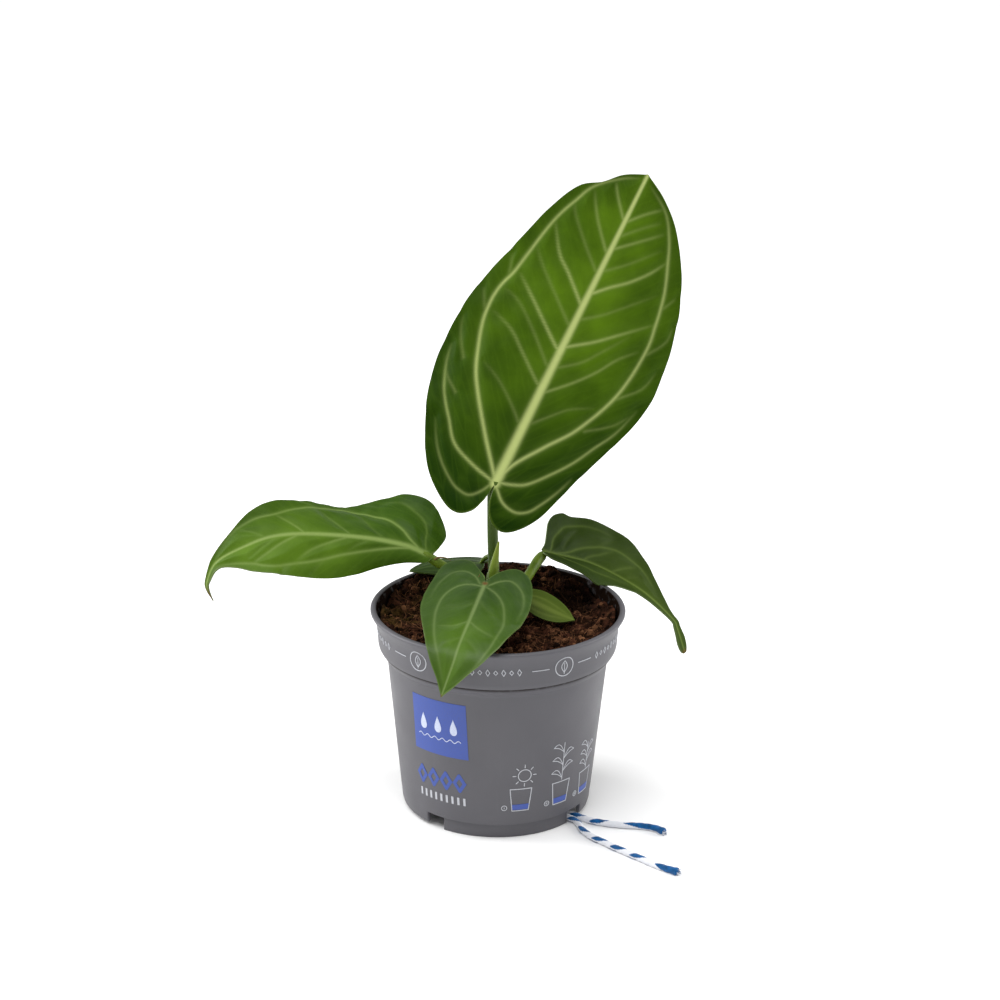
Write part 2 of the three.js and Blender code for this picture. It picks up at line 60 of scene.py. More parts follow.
MM = 0.001
POT_LOW, POT_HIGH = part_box("pot")
POT_X = (POT_LOW[0] + POT_HIGH[0]) / 2
POT_Y = (POT_LOW[1] + POT_HIGH[1]) / 2
TO_FRAME = Matrix.Translation((POT_X, POT_Y, 0)) @ Matrix.Scale(MM, 4)

# Sizes shared with the part, in millimetres and degrees

RIM_R = 60.0
POT_H = 99.0
WALL = 1.3
CREASE_R = 52.2
CREASE_Z = 75.5
BAND_R = 56.4
BASE_R = 45.0
SKIRT_Z = 1.6
FLOOR_Z = 6.8
FLOOR_T = 1.3
FOOT_R = 43.4
FOOT_T = 3.4
FOOT_MID_DEG = 8.5
FOOT_HALF_DEG = 42.5
NOTCH_DEG = 11.0
DRAIN_R = 4.6
DRAIN_RING_R = 26.0
DRAIN_DEG = (56, 146, 236, 326)
SOIL_Z = 92.0
SOIL_BACK_RISE = 4.0
HOLLOWS = ((42, 24, 13, 5.5), (-48, 10, 12, 3.5), (-34, -38, 12, 2))
STEM_FOOT_Z = 83.0
WICK_D = 3.0
WICK_ENDS = {
    "front": [
        (20.3, -16.3, 8.6), (20.3, -16.3, 7.6), (21, -16.8, 4.6), (22.8, -18, 2.4),
        (25.3, -19.5, 1.6), (31.2, -22.9, 1.6), (36.6, -26.6, 1.6), (39.2, -31.4, 1.6),
        (40.8, -37.4, 1.6), (43.8, -43, 1.6), (48.8, -48.4, 1.6), (57.6, -57.2, 1.6),
        (65.4, -64.5, 1.6), (73, -71.8, 1.6), (78.5, -76, 1.6), (83, -78.7, 1.6),
    ],
    "back": [
        (22.7, -12.7, 8.6), (22.7, -12.7, 7.6), (23.4, -13.2, 4.6), (25.2, -14.4, 2.4),
        (27.7, -16, 1.6), (33.4, -19.7, 1.6), (38.7, -23.2, 1.6), (43.6, -26.8, 1.6),
        (49.6, -29.7, 1.6), (58.7, -32, 1.6), (69.5, -33.2, 1.6), (75, -35.2, 1.6),
        (79, -38.9, 1.6),
    ],
}

# Values of the looks alone, with sizes in millimetres

EDGE_BANK = 4.0
# Spots of painted shade on the soil, each with its place and size
PAINTED_SHADE_SPOTS = ((36, 26, 18), (-54, 20, 8), (14, 42, 12))
MOSS_SPOTS = ((-46, 2, 14), (-34, 20, 9), (-52, -12, 9))
SPOT_Z = 90.0
CRUMB_LEAST = 0.35
CRUMB_SPAN = 1.3
SOIL_SEED = 7
FIBRE_LENGTHS = (2, 12)
FIBRE_STEPS = 7
# Of each free end, from the cut: its first dyed patch, its dyed tail and that tail's turn from the top
WICK_TAIL = {"front": (21.8, 11.5, 0.4), "back": (32.0, 20.5, 0.0)}
PATCH_HALF = (4.9, 1.0)
PATCH_LEAN = 0.22
WICK_SIDES = 32
WICK_STRANDS = 3
WICK_SEEN_FROM = np.array((0.0, -0.45, 0.9))
LOOSE_THREADS = 26
FRAY_SEEDS = {"front": 11, "back": 12}

# Leaves. rib, face, fold, curl, half, wave and stalk are the part's own. So are outline and stalk_r,
# apart from small changes to the left, the right and the low leaf. Veins are [x, side] points on the
# flat blade, side above zero on the first side of the outline. PLAIN_LEAF is what a leaf has if it
# doesn't say.
# A leaf's lift paints one side of its blade lighter, and its darker tip is painted shade.
PLAIN_LEAF = {"wave": (0, 1, 0), "lift": 0.0, "tip_shade": 0, "dry": [], "scales": [], "side": [],
              "minor": [], "faint": []}
LEAVES = {
    "leaf_upright": {
        "rib": [(-2, 4, 158.5), (20.5, 18, 203.5), (44, 32, 250), (67, 42, 297)],
        "face": [(0, -1, 0.3), (0, -1, 0.35), (0, -1, 0.4)],
        "fold": [(-4, -4, -4), (-4, -4, -4)],
        "curl": [(-20, -20, -20), (-20, -20, -20)],
        "half": 48,
        "wave": (1.5, 3, 0),
        "uneven": 0.9,
        "puff": 1.5,
        "outline": [[(-9, 1.2), (-16, 4), (-20, 10), (-18, 18), (-9, 30), (4, 39), (25, 48.5),
            (50, 52.5), (75, 50.5), (100, 43), (124, 35), (140, 27), (147, 17.5), (154, 10), (159, 0)],
            [(-9, 1.2), (-16, 5), (-19, 12), (-15, 19), (-5.5, 26), (8, 31), (28, 38), (50, 47),
            (70, 50), (92, 47), (108, 42.5), (126, 34), (142, 23), (152, 12), (159, 0)]],
        "stalk": [(-1.5, 7, 96), (-2.4, 7.4, 120), (-3, 7.6, 138), (-2.9, 7, 151)],
        "stalk_r": (2.8, 2.4),
        "grid": (240, 76),
        "rib_w": (2.45, 0.9),
        "vivid": 1.0,
        "veins": [[(2, 1), (20, 15.5), (39.5, 29.5), (53.5, 36), (67.5, 40), (81.5, 40), (92, 36.5),
            (107.5, 33.5), (122, 30), (134, 25), (143.5, 20), (152, 10), (156, 2)], [(2.5, -0.5),
            (12, -4), (25.5, -13.5), (40, -24), (62, -33.5), (85, -36.5), (98.5, -35), (113, -32),
            (126, -27), (137, -22), (147, -15), (155, -3)]],
        "side": [[(0.5, 2), (3.5, 14), (8.5, 25.5), (18, 33.5), (27.5, 41), (38.5, 46), (50, 49)],
            [(1, -0.5), (3, -7.5), (6.5, -14), (16, -22.5), (24.5, -29), (35, -35), (46, -41.5),
            (60, -46)], [(68, 0.5), (71, 5), (83, 20.5), (93, 34)], [(91, 0.5), (94, 3.5), (102.5, 13),
            (109, 21), (122, 30)], [(70, -0.5), (72, -2.5), (79, -12), (86.5, -20.5), (99, -34.5)],
            [(98, -0.5), (104.5, -7), (111, -14.5), (119, -21.5), (127, -26.5)], [(-1, -1), (-6.5, -7),
            (-8, -14), (-5.5, -19.5), (-1, -23), (8, -28), (18, -32)]],
        "minor": [[(0.5, 1), (-5.5, 4), (-10, 8.5), (-10, 14), (-8, 19), (-2, 27), (6, 34), (16, 40)],
            [(49, 0.5), (51.5, 4.5), (60.5, 16), (67.5, 25.5), (72, 38)], [(118, 0.5), (121.5, 4),
            (131.5, 12.5), (142.5, 19.5)], [(135, 0.5), (144, 8), (150, 12)], [(47, -0.5), (50, -4),
            (58, -12), (67, -19.5), (77, -26), (85, -34)], [(121, -0.5), (129, -9.5), (138, -19.5)],
            [(135, -0.5), (142, -7), (148, -14)]],
        "faint": [[(28, 0.5), (36, 9), (44, 20), (49, 31)], [(60, 3), (70, 14), (80, 27), (84, 38)],
            [(81, 2), (91, 14), (101, 26), (108, 33)], [(108, 1), (117, 11), (128, 22), (133, 25)],
            [(30, -0.5), (38, -8), (46, -16), (52, -27)], [(60, -1), (68, -11), (76, -17), (90, -27)],
            [(85, -1), (92, -10), (100, -18), (112, -30)], [(110, -1), (118, -10), (131, -22)],
            [(128, -1), (136, -9), (142, -16)], [(30, 36), (36, 44), (44, 49)], [(46, 40), (56, 47),
            (64, 50)], [(70, 41), (80, 47)], [(90, 38), (100, 41)], [(40, -27), (48, -38), (56, -44)],
            [(60, -34), (70, -43), (80, -46)], [(84, -37), (94, -43), (102, -43)], [(106, -34),
            (114, -38)]],
    },
    "leaf_left": {
        "rib": [(-34.5, 13, 120), (-44.5, 12, 124.5), (-62, 9, 129), (-88, 4, 132.5), (-105, 0, 132.5),
            (-118, -3, 128.5), (-131, -5, 121.5), (-135.5, -6, 112.5), (-135.5, -6, 107.5),
            (-132.5, -6, 101)],
        "face": [(0.1, -0.5, 1), (0, -0.6, 1), (-0.5, -0.6, 0.6)],
        "fold": [(-5, -14, -8, -5), (14, -14, -4, 10, 0)],
        "curl": [(-220, -50, -15, -10), (-5, -15, -5, -5)],
        "half": 26,
        "uneven": 1.6,
        # One side painted lighter, and painted shade over the tip
        "lift": 0.2,
        "tip_shade": 0.8,
        "puff": 1.3,
        "dry": [(124, 0, 7)],
        "scales": [[(-31.5, 12.6, 116.4), (-28.5, 11.4, 118.6), (-25, 10.8, 118.8),
            (-22.5, 10.6, 117.6)]],
        "outline": [[(-3.5, 1), (-3, 2.4), (-1, 4.4), (4, 6.4), (14, 9.8), (24, 14), (36, 18.5),
            (50, 21.3), (66, 21), (80, 18), (88, 14), (95, 8.5), (103, 4), (113, 1.6), (123.5, 0)],
            [(-3.5, 1), (-5.5, 5.5), (-7, 12), (-4, 19), (2, 27), (13, 33.5), (25, 33.5), (40, 29),
            (56, 25), (70, 21), (82, 15.6), (95, 8), (105, 2.5), (114, 1.2), (123.5, 0)]],
        "stalk": [(-8.5, 5.5, 96), (-12, 7.5, 102), (-22.5, 12.5, 111.5), (-29.5, 13.5, 115.8)],
        "stalk_r": (2.4, 2.0),
        "grid": (200, 48),
        "rib_w": (1.6, 0.5),
        "vivid": 0.7,
        "veins": [[(4, -1), (8.5, -4), (12.5, -9), (19, -15.5), (26, -20.5), (36.5, -26), (49, -22.5),
            (61, -17.5), (71, -13), (78, -12.5), (85, -11), (91, -9), (103, -1)], [(7, 0.5), (15, 2.6),
            (23, 4.8), (31.5, 7), (41, 9.5), (51, 12.5), (61, 14.5), (75, 15), (82.5, 13), (87, 10),
            (94, 6.5), (101, 3.5), (106, 0.5)]],
        "side": [[(59, -0.5), (62.5, -5), (66.5, -9), (71, -13)], [(62, 0.5), (70, 4), (77, 7), (84, 9),
            (87.5, 10)], [(38, 0.5), (47, 4), (56, 8), (64, 13.5)]],
        "minor": [[(37, -1), (42, -8), (50, -20)], [(0.5, -2), (2, -7), (2.5, -11), (5, -17),
            (8.5, -22), (12.5, -27.5), (20, -30)]],
        "faint": [[(22, -1), (27, -9), (31, -19)], [(78, -1), (83, -6), (88, -9)], [(28, 1), (34, 4),
            (40, 9)], [(72, 1), (80, 4), (88, 7)], [(30, -24), (36, -29)], [(52, -22), (58, -24)],
            [(50, 13), (56, 19)], [(68, 15), (74, 18)]],
    },
    "leaf_right": {
        "rib": [(21.5, 27, 116.5), (30.5, 32, 112.5), (44, 38.5, 106.5), (58, 42, 98.5), (72, 42, 89.5),
            (85, 40, 77.5), (87.5, 39, 73), (91.5, 37, 61)],
        "face": [(0, -0.35, 1), (0.2, -0.35, 1), (0.6, -0.35, 0.6)],
        "fold": [(25, 25, 10, 0), (12, 17, 2, -15)],
        "curl": [(-5, -10, -10, -10), (-40, -45, -30, -20)],
        "half": 26,
        "uneven": 1.0,
        "puff": 0.8,
        "dry": [(98, 0, 3)],
        "outline": [[(-1, 1), (1.5, 5), (3.5, 11), (5.5, 17), (9, 22), (14.5, 24.3), (19, 23.4),
            (28, 24.6), (44, 23), (53, 17.5), (61, 11), (70, 5), (77, 2.4), (84, 2.4), (89.5, 3.2),
            (94.5, 2.6), (98, 0)], [(-1, 1), (-2, 3.5), (0, 7), (4, 9), (9, 10.5), (15, 13.5),
            (24, 17.5), (31, 16), (43, 9.8), (53, 5.5), (61, 3.8), (70, 2.6), (79, 1.8), (86, 2.6),
            (91, 3.2), (95, 2.4), (98, 0)]],
        "stalk": [(6, 5, 96), (9.5, 8.5, 103), (14.5, 14, 109.5), (19, 22, 114)],
        "stalk_r": (2.5, 2.2),
        "grid": (190, 42),
        "rib_w": (1.3, 0.5),
        "vivid": 0.7,
        "veins": [[(7, 0.5), (14.5, 2.5), (20.5, 5.5), (27, 8.5), (34, 11.5), (41, 13), (49, 12),
            (53.5, 11), (59, 8), (65, 4)], [(4, 0.5), (5.5, 4), (6.5, 7), (9, 11), (14, 16),
            (20.5, 18.5), (27, 20), (38, 20)]],
        "side": [[(40, 0.5), (46, 6), (51, 10)], [(6, -1), (12, -4), (20, -7.5), (28, -8.5), (38, -6.5),
            (50, -3.5)], [(24, 1), (28, 4), (33, 7), (40, 13)]],
        "faint": [[(12, 4), (16, 10), (22, 17)], [(48, 1), (54, 6)], [(30, 10), (38, 18)]],
    },
    "leaf_front": {
        "rib": [(-6, -12, 115), (-12, -35, 108), (-17, -57, 103), (-20, -65, 96), (-26, -69, 79)],
        "face": [(0, -0.35, 1), (-0.1, -0.5, 1), (-0.35, -1, 0.35)],
        "fold": [(-2, 4, 4), (-2, 4, 4)],
        "curl": [(-18, -8, -10), (-18, -8, -10)],
        "half": 27,
        "uneven": 0.9,
        "puff": 0.9,
        "dry": [(0.5, 0, 1.3), (75, 0, 1.6)],
        "scales": [[(-8, -7, 108), (-9.2, -7.2, 112), (-9.4, -7.6, 115.5), (-8.6, -8, 118)]],
        "outline": [[(-4, 1.2), (-8.5, 4.2), (-13, 9), (-14, 14), (-10, 19), (-1, 22.5), (16, 24.2),
            (33, 22.5), (49, 18), (60, 9), (69, 3.5), (74.5, 0)], [(-4, 1.2), (-8.5, 5), (-14, 10),
            (-15.5, 15), (-13.5, 20), (-8, 24), (6, 26.2), (22, 24.8), (38, 19.6), (58, 12), (68, 4.5),
            (74.5, 0)]],
        "stalk": [(-6, -5, 96), (-6.6, -5.6, 103), (-6.8, -7.5, 110)],
        "stalk_r": (1.9, 1.5),
        "grid": (150, 46),
        "rib_w": (1.1, 0.5),
        "vivid": 0.42,
        "veins": [[(3, -1), (2.5, -7), (4.5, -12), (10.5, -16), (21, -17), (32.5, -15.5), (45, -12.5),
            (53, -9.5), (60.5, -6), (69, -1)], [(3, 1.5), (6.5, 7), (12.5, 11.5), (21.5, 14.5),
            (31.5, 16), (42.5, 15.5), (50, 14), (54.5, 12), (60, 8.5), (69, 1)], [(1.5, 2), (-3, 6),
            (-5.5, 11), (-2.5, 16), (2.5, 19), (12, 21), (26, 21)]],
        "side": [[(1.5, -2), (-4, -6), (-7, -12), (-5, -18), (3, -22), (16, -22.5)], [(30, 0.5),
            (36, 6), (43, 15)], [(30, -0.5), (35, -6), (37, -14)]],
        "faint": [[(14, 1), (20, 6), (26, 14.5)], [(16, -1), (20, -7), (22, -16.5)], [(44, 1), (50, 7),
            (54, 11)], [(44, -1), (49, -6), (53, -9.5)]],
    },
    "leaf_back": {
        "rib": [(-8, 38, 106), (-17, 43, 104), (-30, 44, 102.3), (-43, 40, 100.8)],
        "face": [(0, -0.1, 1), (0, -0.1, 1), (0, -0.1, 1)],
        "fold": [(-4, -4), (-4, -4)],
        "curl": [(-15, -15), (-15, -15)],
        "half": 11,
        "uneven": 0.4,
        "puff": 0.5,
        "outline": [[(-2, 1.2), (-3.5, 4.5), (-3, 8), (1, 10.5), (10, 11), (22, 9), (32, 4.5), (38, 0)],
            [(-2, 1.2), (-3.5, 4.5), (-3, 8), (1, 10.5), (10, 11), (22, 9), (32, 4.5), (38, 0)]],
        "stalk": [(0, 13.5, 96), (-0.6, 19, 105), (-2.5, 28, 112.5), (-6, 35.6, 110)],
        "stalk_r": (1.3, 1.0),
        "grid": (70, 18),
        "rib_w": (0.8, 0.4),
        "vivid": 0.8,
        "veins": [[(1, 1), (8, 5.5), (18, 6), (28, 3.5), (35, 0.5)], [(1, -1), (8, -5.5), (18, -6),
            (28, -3.5), (35, -0.5)]],
        "faint": [[(12, 1), (17, 6)], [(12, -1), (17, -6)]],
    },
    "leaf_low": {
        "rib": [(10.5, -1, 104.5), (17.5, -3, 102), (26.5, -5.5, 98.5), (37, -8.5, 95)],
        "face": [(0, -0.5, 1), (0, -0.5, 1), (0, -0.35, 1)],
        "fold": [(-4, -4), (-4, -4)],
        "curl": [(-15, -15), (-15, -15)],
        "half": 9,
        "uneven": 0.4,
        "puff": 0.5,
        "outline": [[(-0.5, 1), (1.5, 6), (7.5, 9.8), (16, 8.8), (23, 4.8), (28, 0)], [(0, 1), (3, 3.5),
            (9, 6), (17, 6), (23, 4), (28, 0)]],
        "stalk": [(3.8, -1.8, 96), (4.8, -1.4, 101)],
        "stalk_r": (1.6, 1.3),
        "grid": (70, 18),
        "rib_w": (1.9, 0.9),
        "vivid": 0.4,
        "veins": [[(1, 1), (7, 4), (14, 4.2), (22, 2.2), (27, 0.3)], [(1, -1), (7, -3.4), (14, -3.6),
            (22, -2), (27, -0.3)]],
    },
}
for leaf_spec in LEAVES.values():
    for plain_key, plain_value in PLAIN_LEAF.items():
        leaf_spec.setdefault(plain_key, plain_value)

BLADE_T = 0.75
RIB_RUN = 1.2
RIB_DEPTH = 0.3
TIP_HALF_W = 0.2
SPIKE = [(-3, 0.5, 96), (-3.2, 0, 108), (-2, 0.8, 119), (0, 2, 130.5)]
SPIKE_R = 3.2
SPIKE_TIP_R = 0.4
SPIKE_TAPER_FROM = 0.4

# Camera, relative to the pot's axis, and lights, each with its kind, place and share of its setting

CAMERA_AT = (0.0, -1.1, 0.536496)
CAMERA_DOWN = 0.336417
CAMERA_ROLL = 0.011607
CAMERA_TURN = 0.000347
CAMERA_LENS = 90.538
FLOOR_SIZE = 14
SUN_DEG = 50
PANEL_SIZE = 0.9
LIGHTS_AIM = Vector((0, 0, 0.14))
LIGHTS = (
    ("sky_panel", "SUN", (-0.3, -0.35, 1.6), 1),
    ("left_panel", "AREA", (-1.3, 0.35, 0.7), 1),
    ("right_panel", "AREA", (1.3, 0.3, 0.7), 0.6),
)


def srgb(red, green, blue):
    """A colour of 0 to 255, as the renderer's linear values."""
    def linear(value):
        value /= 255
        return value / 12.92 if value <= 0.04045 else ((value + 0.055) / 1.055) ** 2.4
    return (linear(red), linear(green), linear(blue), 1.0)


# Each leaf's dark, light, vein edge, vein and margin colours, with its roughness and shine
LEAF_COLOURS = {
    "leaf_upright": (srgb(12, 38, 0), srgb(84, 116, 16), srgb(84, 112, 28), srgb(176, 188, 116),
                     srgb(80, 100, 34), 0.45, 0.04),
    "leaf_left": (srgb(40, 68, 0), srgb(88, 120, 24), srgb(98, 126, 42), srgb(140, 160, 90),
                  srgb(94, 110, 52), 0.42, 0.1),
    "leaf_right": (srgb(32, 50, 2), srgb(62, 80, 20), srgb(68, 88, 28), srgb(100, 118, 52),
                   srgb(72, 90, 40), 0.45, 0.05),
    "leaf_front": (srgb(38, 62, 14), srgb(74, 104, 20), srgb(80, 104, 42), srgb(136, 154, 98),
                   srgb(96, 118, 58), 0.36, 0.2),
    "leaf_back": (srgb(30, 50, 8), srgb(44, 68, 14), srgb(54, 76, 22), srgb(70, 92, 38),
                  srgb(60, 82, 30), 0.45, 0.1),
    "leaf_low": (srgb(56, 72, 14), srgb(70, 86, 22), srgb(80, 96, 32), srgb(108, 122, 54),
                 srgb(80, 98, 38), 0.45, 0.08),
}


# Settings


class LeafSettings(bpy.types.PropertyGroup):
    thickness: bpy.props.FloatProperty(
        name="Blade thickness", description="Thickness of every leaf blade",
        default=BLADE_T * MM, min=0.0003, max=0.002, subtype="DISTANCE", unit="LENGTH")
    relief: bpy.props.FloatProperty(
        name="Vein relief", description="How far the tissue swells between the veins",
        default=0.0008, min=0.0, max=0.002, subtype="DISTANCE", unit="LENGTH")


class PotSettings(bpy.types.PropertyGroup):
    segments: bpy.props.IntProperty(
        name="Steps round the pot", description="Faces round the pot's wall", default=120, min=48, max=240)
    plastic: bpy.props.FloatVectorProperty(
        name="Pot colour", description="Colour of the pot's plastic",
        default=srgb(83, 82, 87)[:3], size=3, min=0, max=1, subtype="COLOR")
    ink: bpy.props.FloatVectorProperty(
        name="Print colour", description="Colour of the printed panel",
        default=srgb(60, 82, 158)[:3], size=3, min=0, max=1, subtype="COLOR")


class SoilSettings(bpy.types.PropertyGroup):
    crumbs: bpy.props.IntProperty(
        name="Crumbs", description="Loose crumbs on the soil", default=1500, min=0, max=4000)
    fibres: bpy.props.IntProperty(
        name="Fibres", description="Coconut fibres on the soil", default=1700, min=0, max=4000)
    brown: bpy.props.FloatVectorProperty(
        name="Soil colour", description="Main colour of the soil",
        default=srgb(46, 27, 17)[:3], size=3, min=0, max=1, subtype="COLOR")


class WickSettings(bpy.types.PropertyGroup):
    pitch: bpy.props.FloatProperty(
        name="Twist", description="Length of one full turn of the wick's strands",
        default=0.0118, min=0.003, max=0.03, subtype="DISTANCE", unit="LENGTH")
    blue: bpy.props.FloatVectorProperty(
        name="Strand colour", description="Colour of the dyed strand",
        default=srgb(8, 90, 152)[:3], size=3, min=0, max=1, subtype="COLOR")


class StageSettings(bpy.types.PropertyGroup):
    floor: bpy.props.FloatVectorProperty(
        name="Floor colour", description="Colour of the floor",
        default=(0.95, 0.95, 0.95), size=3, min=0, max=1, subtype="COLOR")
    sky: bpy.props.FloatProperty(
        name="Sky", description="Strength of the even white light from all round",
        default=0.5, min=0, max=3)
    sun: bpy.props.FloatProperty(
        name="Overhead light", description="Strength of the soft light from above",
        default=2.0, min=0, max=10)
    side_power: bpy.props.FloatProperty(
        name="Side panels", description="Power of the light panels beside the plant",
        default=19.0, min=0, max=200, unit="POWER")


SETTINGS = {
    "anthurium_leaf": LeafSettings,
    "anthurium_pot": PotSettings,
    "anthurium_soil": SoilSettings,
    "anthurium_wick": WickSettings,
    "anthurium_stage": StageSettings,
}


# Mesh helpers


def deselect():
    if bpy.context.object and bpy.context.object.mode != "OBJECT":
        bpy.ops.object.mode_set(mode="OBJECT")
    bpy.ops.object.select_all(action="DESELECT")


def pick(obj):
    deselect()
    obj.select_set(True)
    bpy.context.view_layer.objects.active = obj


def join(name, parts):
    """Several objects as one piece of that name."""
    pick(parts[0])
    for part in parts[1:]:
        part.select_set(True)
    if len(parts) > 1:
        bpy.ops.object.join()
    parts[0].name = name
    parts[0].data.name = name
    return parts[0]


def place(obj, change=TO_FRAME):
    """Bakes the object's own place and a change of frame into its mesh. It ends at the origin."""
    obj.data.transform(change @ obj.matrix_world)
    obj.matrix_world = Matrix.Identity(4)
    obj.data.update()


def new_mesh(name, vertices, faces, edges=()):
    mesh = bpy.data.meshes.new(name)
    mesh.from_pydata([tuple(v) for v in vertices], list(edges), [tuple(f) for f in faces])
    mesh.update()
    obj = bpy.data.objects.new(name, mesh)
    bpy.context.scene.collection.objects.link(obj)
    return obj


def points_of(obj):
    flat = np.empty(len(obj.data.vertices) * 3)
    obj.data.vertices.foreach_get("co", flat)
    return flat.reshape(-1, 3)


def move_points(obj, points):
    obj.data.vertices.foreach_set("co", np.asarray(points, float).ravel())
    obj.data.update()


def paint(obj, name, values, kind="FLOAT"):
    """Stores a value or a colour at each point, for a material to read."""
    layer = obj.data.attributes.new(name, kind, "POINT")
    layer.data.foreach_set("value" if kind == "FLOAT" else "color", np.ravel(values))


def modify(obj, kind, **values):
    """Adds a modifier with these values and applies it."""
    pick(obj)
    modifier = obj.modifiers.new(kind.title(), kind)
    for key, value in values.items():
        setattr(modifier, key, value)
    bpy.ops.object.modifier_apply(modifier=modifier.name)


def smooth(obj, degrees=None):
    pick(obj)
    if degrees is None:
        bpy.ops.object.shade_smooth()
    else:
        bpy.ops.object.shade_smooth_by_angle(angle=math.radians(degrees))


def clean(obj, distance=None):
    """Merges points nearer than a distance, if one is given, and turns every face outward."""
    pick(obj)
    bpy.ops.object.mode_set(mode="EDIT")
    bpy.ops.mesh.select_all(action="SELECT")
    if distance:
        bpy.ops.mesh.remove_doubles(threshold=distance)
    bpy.ops.mesh.normals_make_consistent(inside=False)
    bpy.ops.object.mode_set(mode="OBJECT")


def spin(name, profile, steps, turn=360.0, start=0.0):
    """A profile of [radius, height] turned about the pot's axis. A part turn gets flat ends."""
    first = math.radians(start)
    line = [(r * math.sin(first), -r * math.cos(first), z) for r, z in profile]
    edges = [(i, i + 1) for i in range(len(line) - 1)]
    whole = turn >= 360
    if not whole:
        edges.append((len(line) - 1, 0))
    obj = new_mesh(name, line, [], edges)
    pick(obj)
    bpy.ops.object.mode_set(mode="EDIT")
    bpy.ops.mesh.select_all(action="SELECT")
    bpy.ops.mesh.spin(steps=steps, angle=math.radians(turn), center=(0, 0, 0), axis=(0, 0, -1))
    bpy.ops.mesh.select_all(action="SELECT")
    bpy.ops.mesh.remove_doubles(threshold=0.001)
    if not whole:
        bpy.ops.mesh.select_all(action="DESELECT")
        bpy.ops.mesh.select_non_manifold(extend=False)
        bpy.ops.mesh.edge_face_add()
    clean(obj)
    return obj


def around(radius, degrees, height=0.0):
    turn = math.radians(degrees)
    return Vector((radius * math.sin(turn), -radius * math.cos(turn), height))


def run_along(path):
    """How far along a path each of its points is."""
    return np.r_[0, np.cumsum(np.linalg.norm(np.diff(path, axis=0), axis=1))]


def spline(values, t):
    """A smooth run through evenly spaced values at every t from 0 to 1."""
    p = np.asarray(values, float)
    if p.ndim == 1:
        p = p[:, None]
    spans = len(p) - 1
    ends = np.vstack([2 * p[0] - p[1], p, 2 * p[-1] - p[-2]])
    u = np.clip(np.asarray(t, float), 0, 1) * spans
    i = np.minimum(u.astype(int), spans - 1)
    f = (u - i)[..., None]
    a, b, c, d = ends[i], ends[i + 1], ends[i + 2], ends[i + 3]
    return 0.5 * (2 * b + (c - a) * f + (2 * a - 5 * b + 4 * c - d) * f ** 2
                  + (3 * b - a - 3 * c + d) * f ** 3)


def even_curve(points, step):
    """Points a fixed step apart on a smooth curve through the given ones."""
    points = [Vector(p) for p in points]
    ghost = [2 * points[0] - points[1]] + points + [2 * points[-1] - points[-2]]
    dense = []
    for a, b, c, d in zip(ghost, ghost[1:], ghost[2:], ghost[3:]):
        gaps = [max((q - p).length, 1e-6) ** 0.5 for p, q in ((a, b), (b, c), (c, d))]
        enter = ((b - a) / gaps[0] - (c - a) / (gaps[0] + gaps[1]) + (c - b) / gaps[1]) * gaps[1]
        leave = ((c - b) / gaps[1] - (d - b) / (gaps[1] + gaps[2]) + (d - c) / gaps[2]) * gaps[1]
        for f in np.linspace(0, 1, 24, endpoint=False):
            dense.append(b * (2 * f ** 3 - 3 * f ** 2 + 1) + enter * (f ** 3 - 2 * f ** 2 + f)
                         + c * (3 * f ** 2 - 2 * f ** 3) + leave * (f ** 3 - f ** 2))
    dense.append(points[-1])
    dense = np.array([tuple(p) for p in dense])
    run = run_along(dense)
    at = np.linspace(0, run[-1], max(int(round(run[-1] / step)), 2) + 1)
    return np.stack([np.interp(at, run, dense[:, k]) for k in range(3)], 1)


def tube(name, path, radii, sides_level=3, material=None):
    """A round bar along a path, with a radius at each point and closed ends."""
    curve = bpy.data.curves.new(name, "CURVE")
    curve.dimensions = "3D"
    curve.bevel_depth = 1.0
    curve.bevel_resolution = sides_level
    curve.use_fill_caps = True
    line = curve.splines.new("POLY")
    line.points.add(len(path) - 1)
    for point, at, radius in zip(line.points, path, radii):
        point.co = (*at, 1)
        point.radius = radius
    obj = bpy.data.objects.new(name, curve)
    bpy.context.scene.collection.objects.link(obj)
    pick(obj)
    bpy.ops.object.convert(target="MESH")
    obj = bpy.context.object
    if material:
        obj.data.materials.append(material)
    return obj


def frames_along(path):
    """Two directions across the path at each of its points, carried along without turning."""
    ahead = np.gradient(path, axis=0)
    ahead /= np.linalg.norm(ahead, axis=1, keepdims=True)
    across = np.zeros_like(path)
    first = np.cross(ahead[0], (1.0, 0.3, 0.0))
    across[0] = first / np.linalg.norm(first)
    for i in range(1, len(path)):
        carried = across[i - 1] - ahead[i] * np.dot(across[i - 1], ahead[i])
        across[i] = carried / np.linalg.norm(carried)
    return across, np.cross(ahead, across)


# Material helpers. Each works in a tree's nodes, and takes sockets or plain values.


def feed(socket, value):
    """Links a socket to another one, or sets its value."""
    if isinstance(value, bpy.types.NodeSocket):
        socket.id_data.links.new(value, socket)
    else:
        socket.default_value = value


def feed_all(node, inputs):
    """Feeds a node's inputs by name, with _ for each space in a name."""
    for key, value in inputs.items():
        feed(node.inputs[key.replace("_", " ")], value)
    return node


def add(nodes, kind, fields=None, **inputs):
    node = nodes.new("ShaderNode" + kind)
    for key, value in (fields or {}).items():
        setattr(node, key, value)
    return feed_all(node, inputs)


def mix(nodes, factor, a, b):
    node = add(nodes, "Mix", {"data_type": "RGBA"})
    for socket, value in ((node.inputs[0], factor), (node.inputs[6], a), (node.inputs[7], b)):
        feed(socket, value)
    return node.outputs[2]


def layered(nodes, colour, *layers):
    """A colour with others laid over it, each given as its mask and its colour."""
    for mask, over in layers:
        colour = mix(nodes, mask, colour, over)
    return colour


def times(nodes, a, b):
    node = add(nodes, "Math", {"operation": "MULTIPLY"})
    feed(node.inputs[0], a)
    feed(node.inputs[1], b)
    return node.outputs[0]


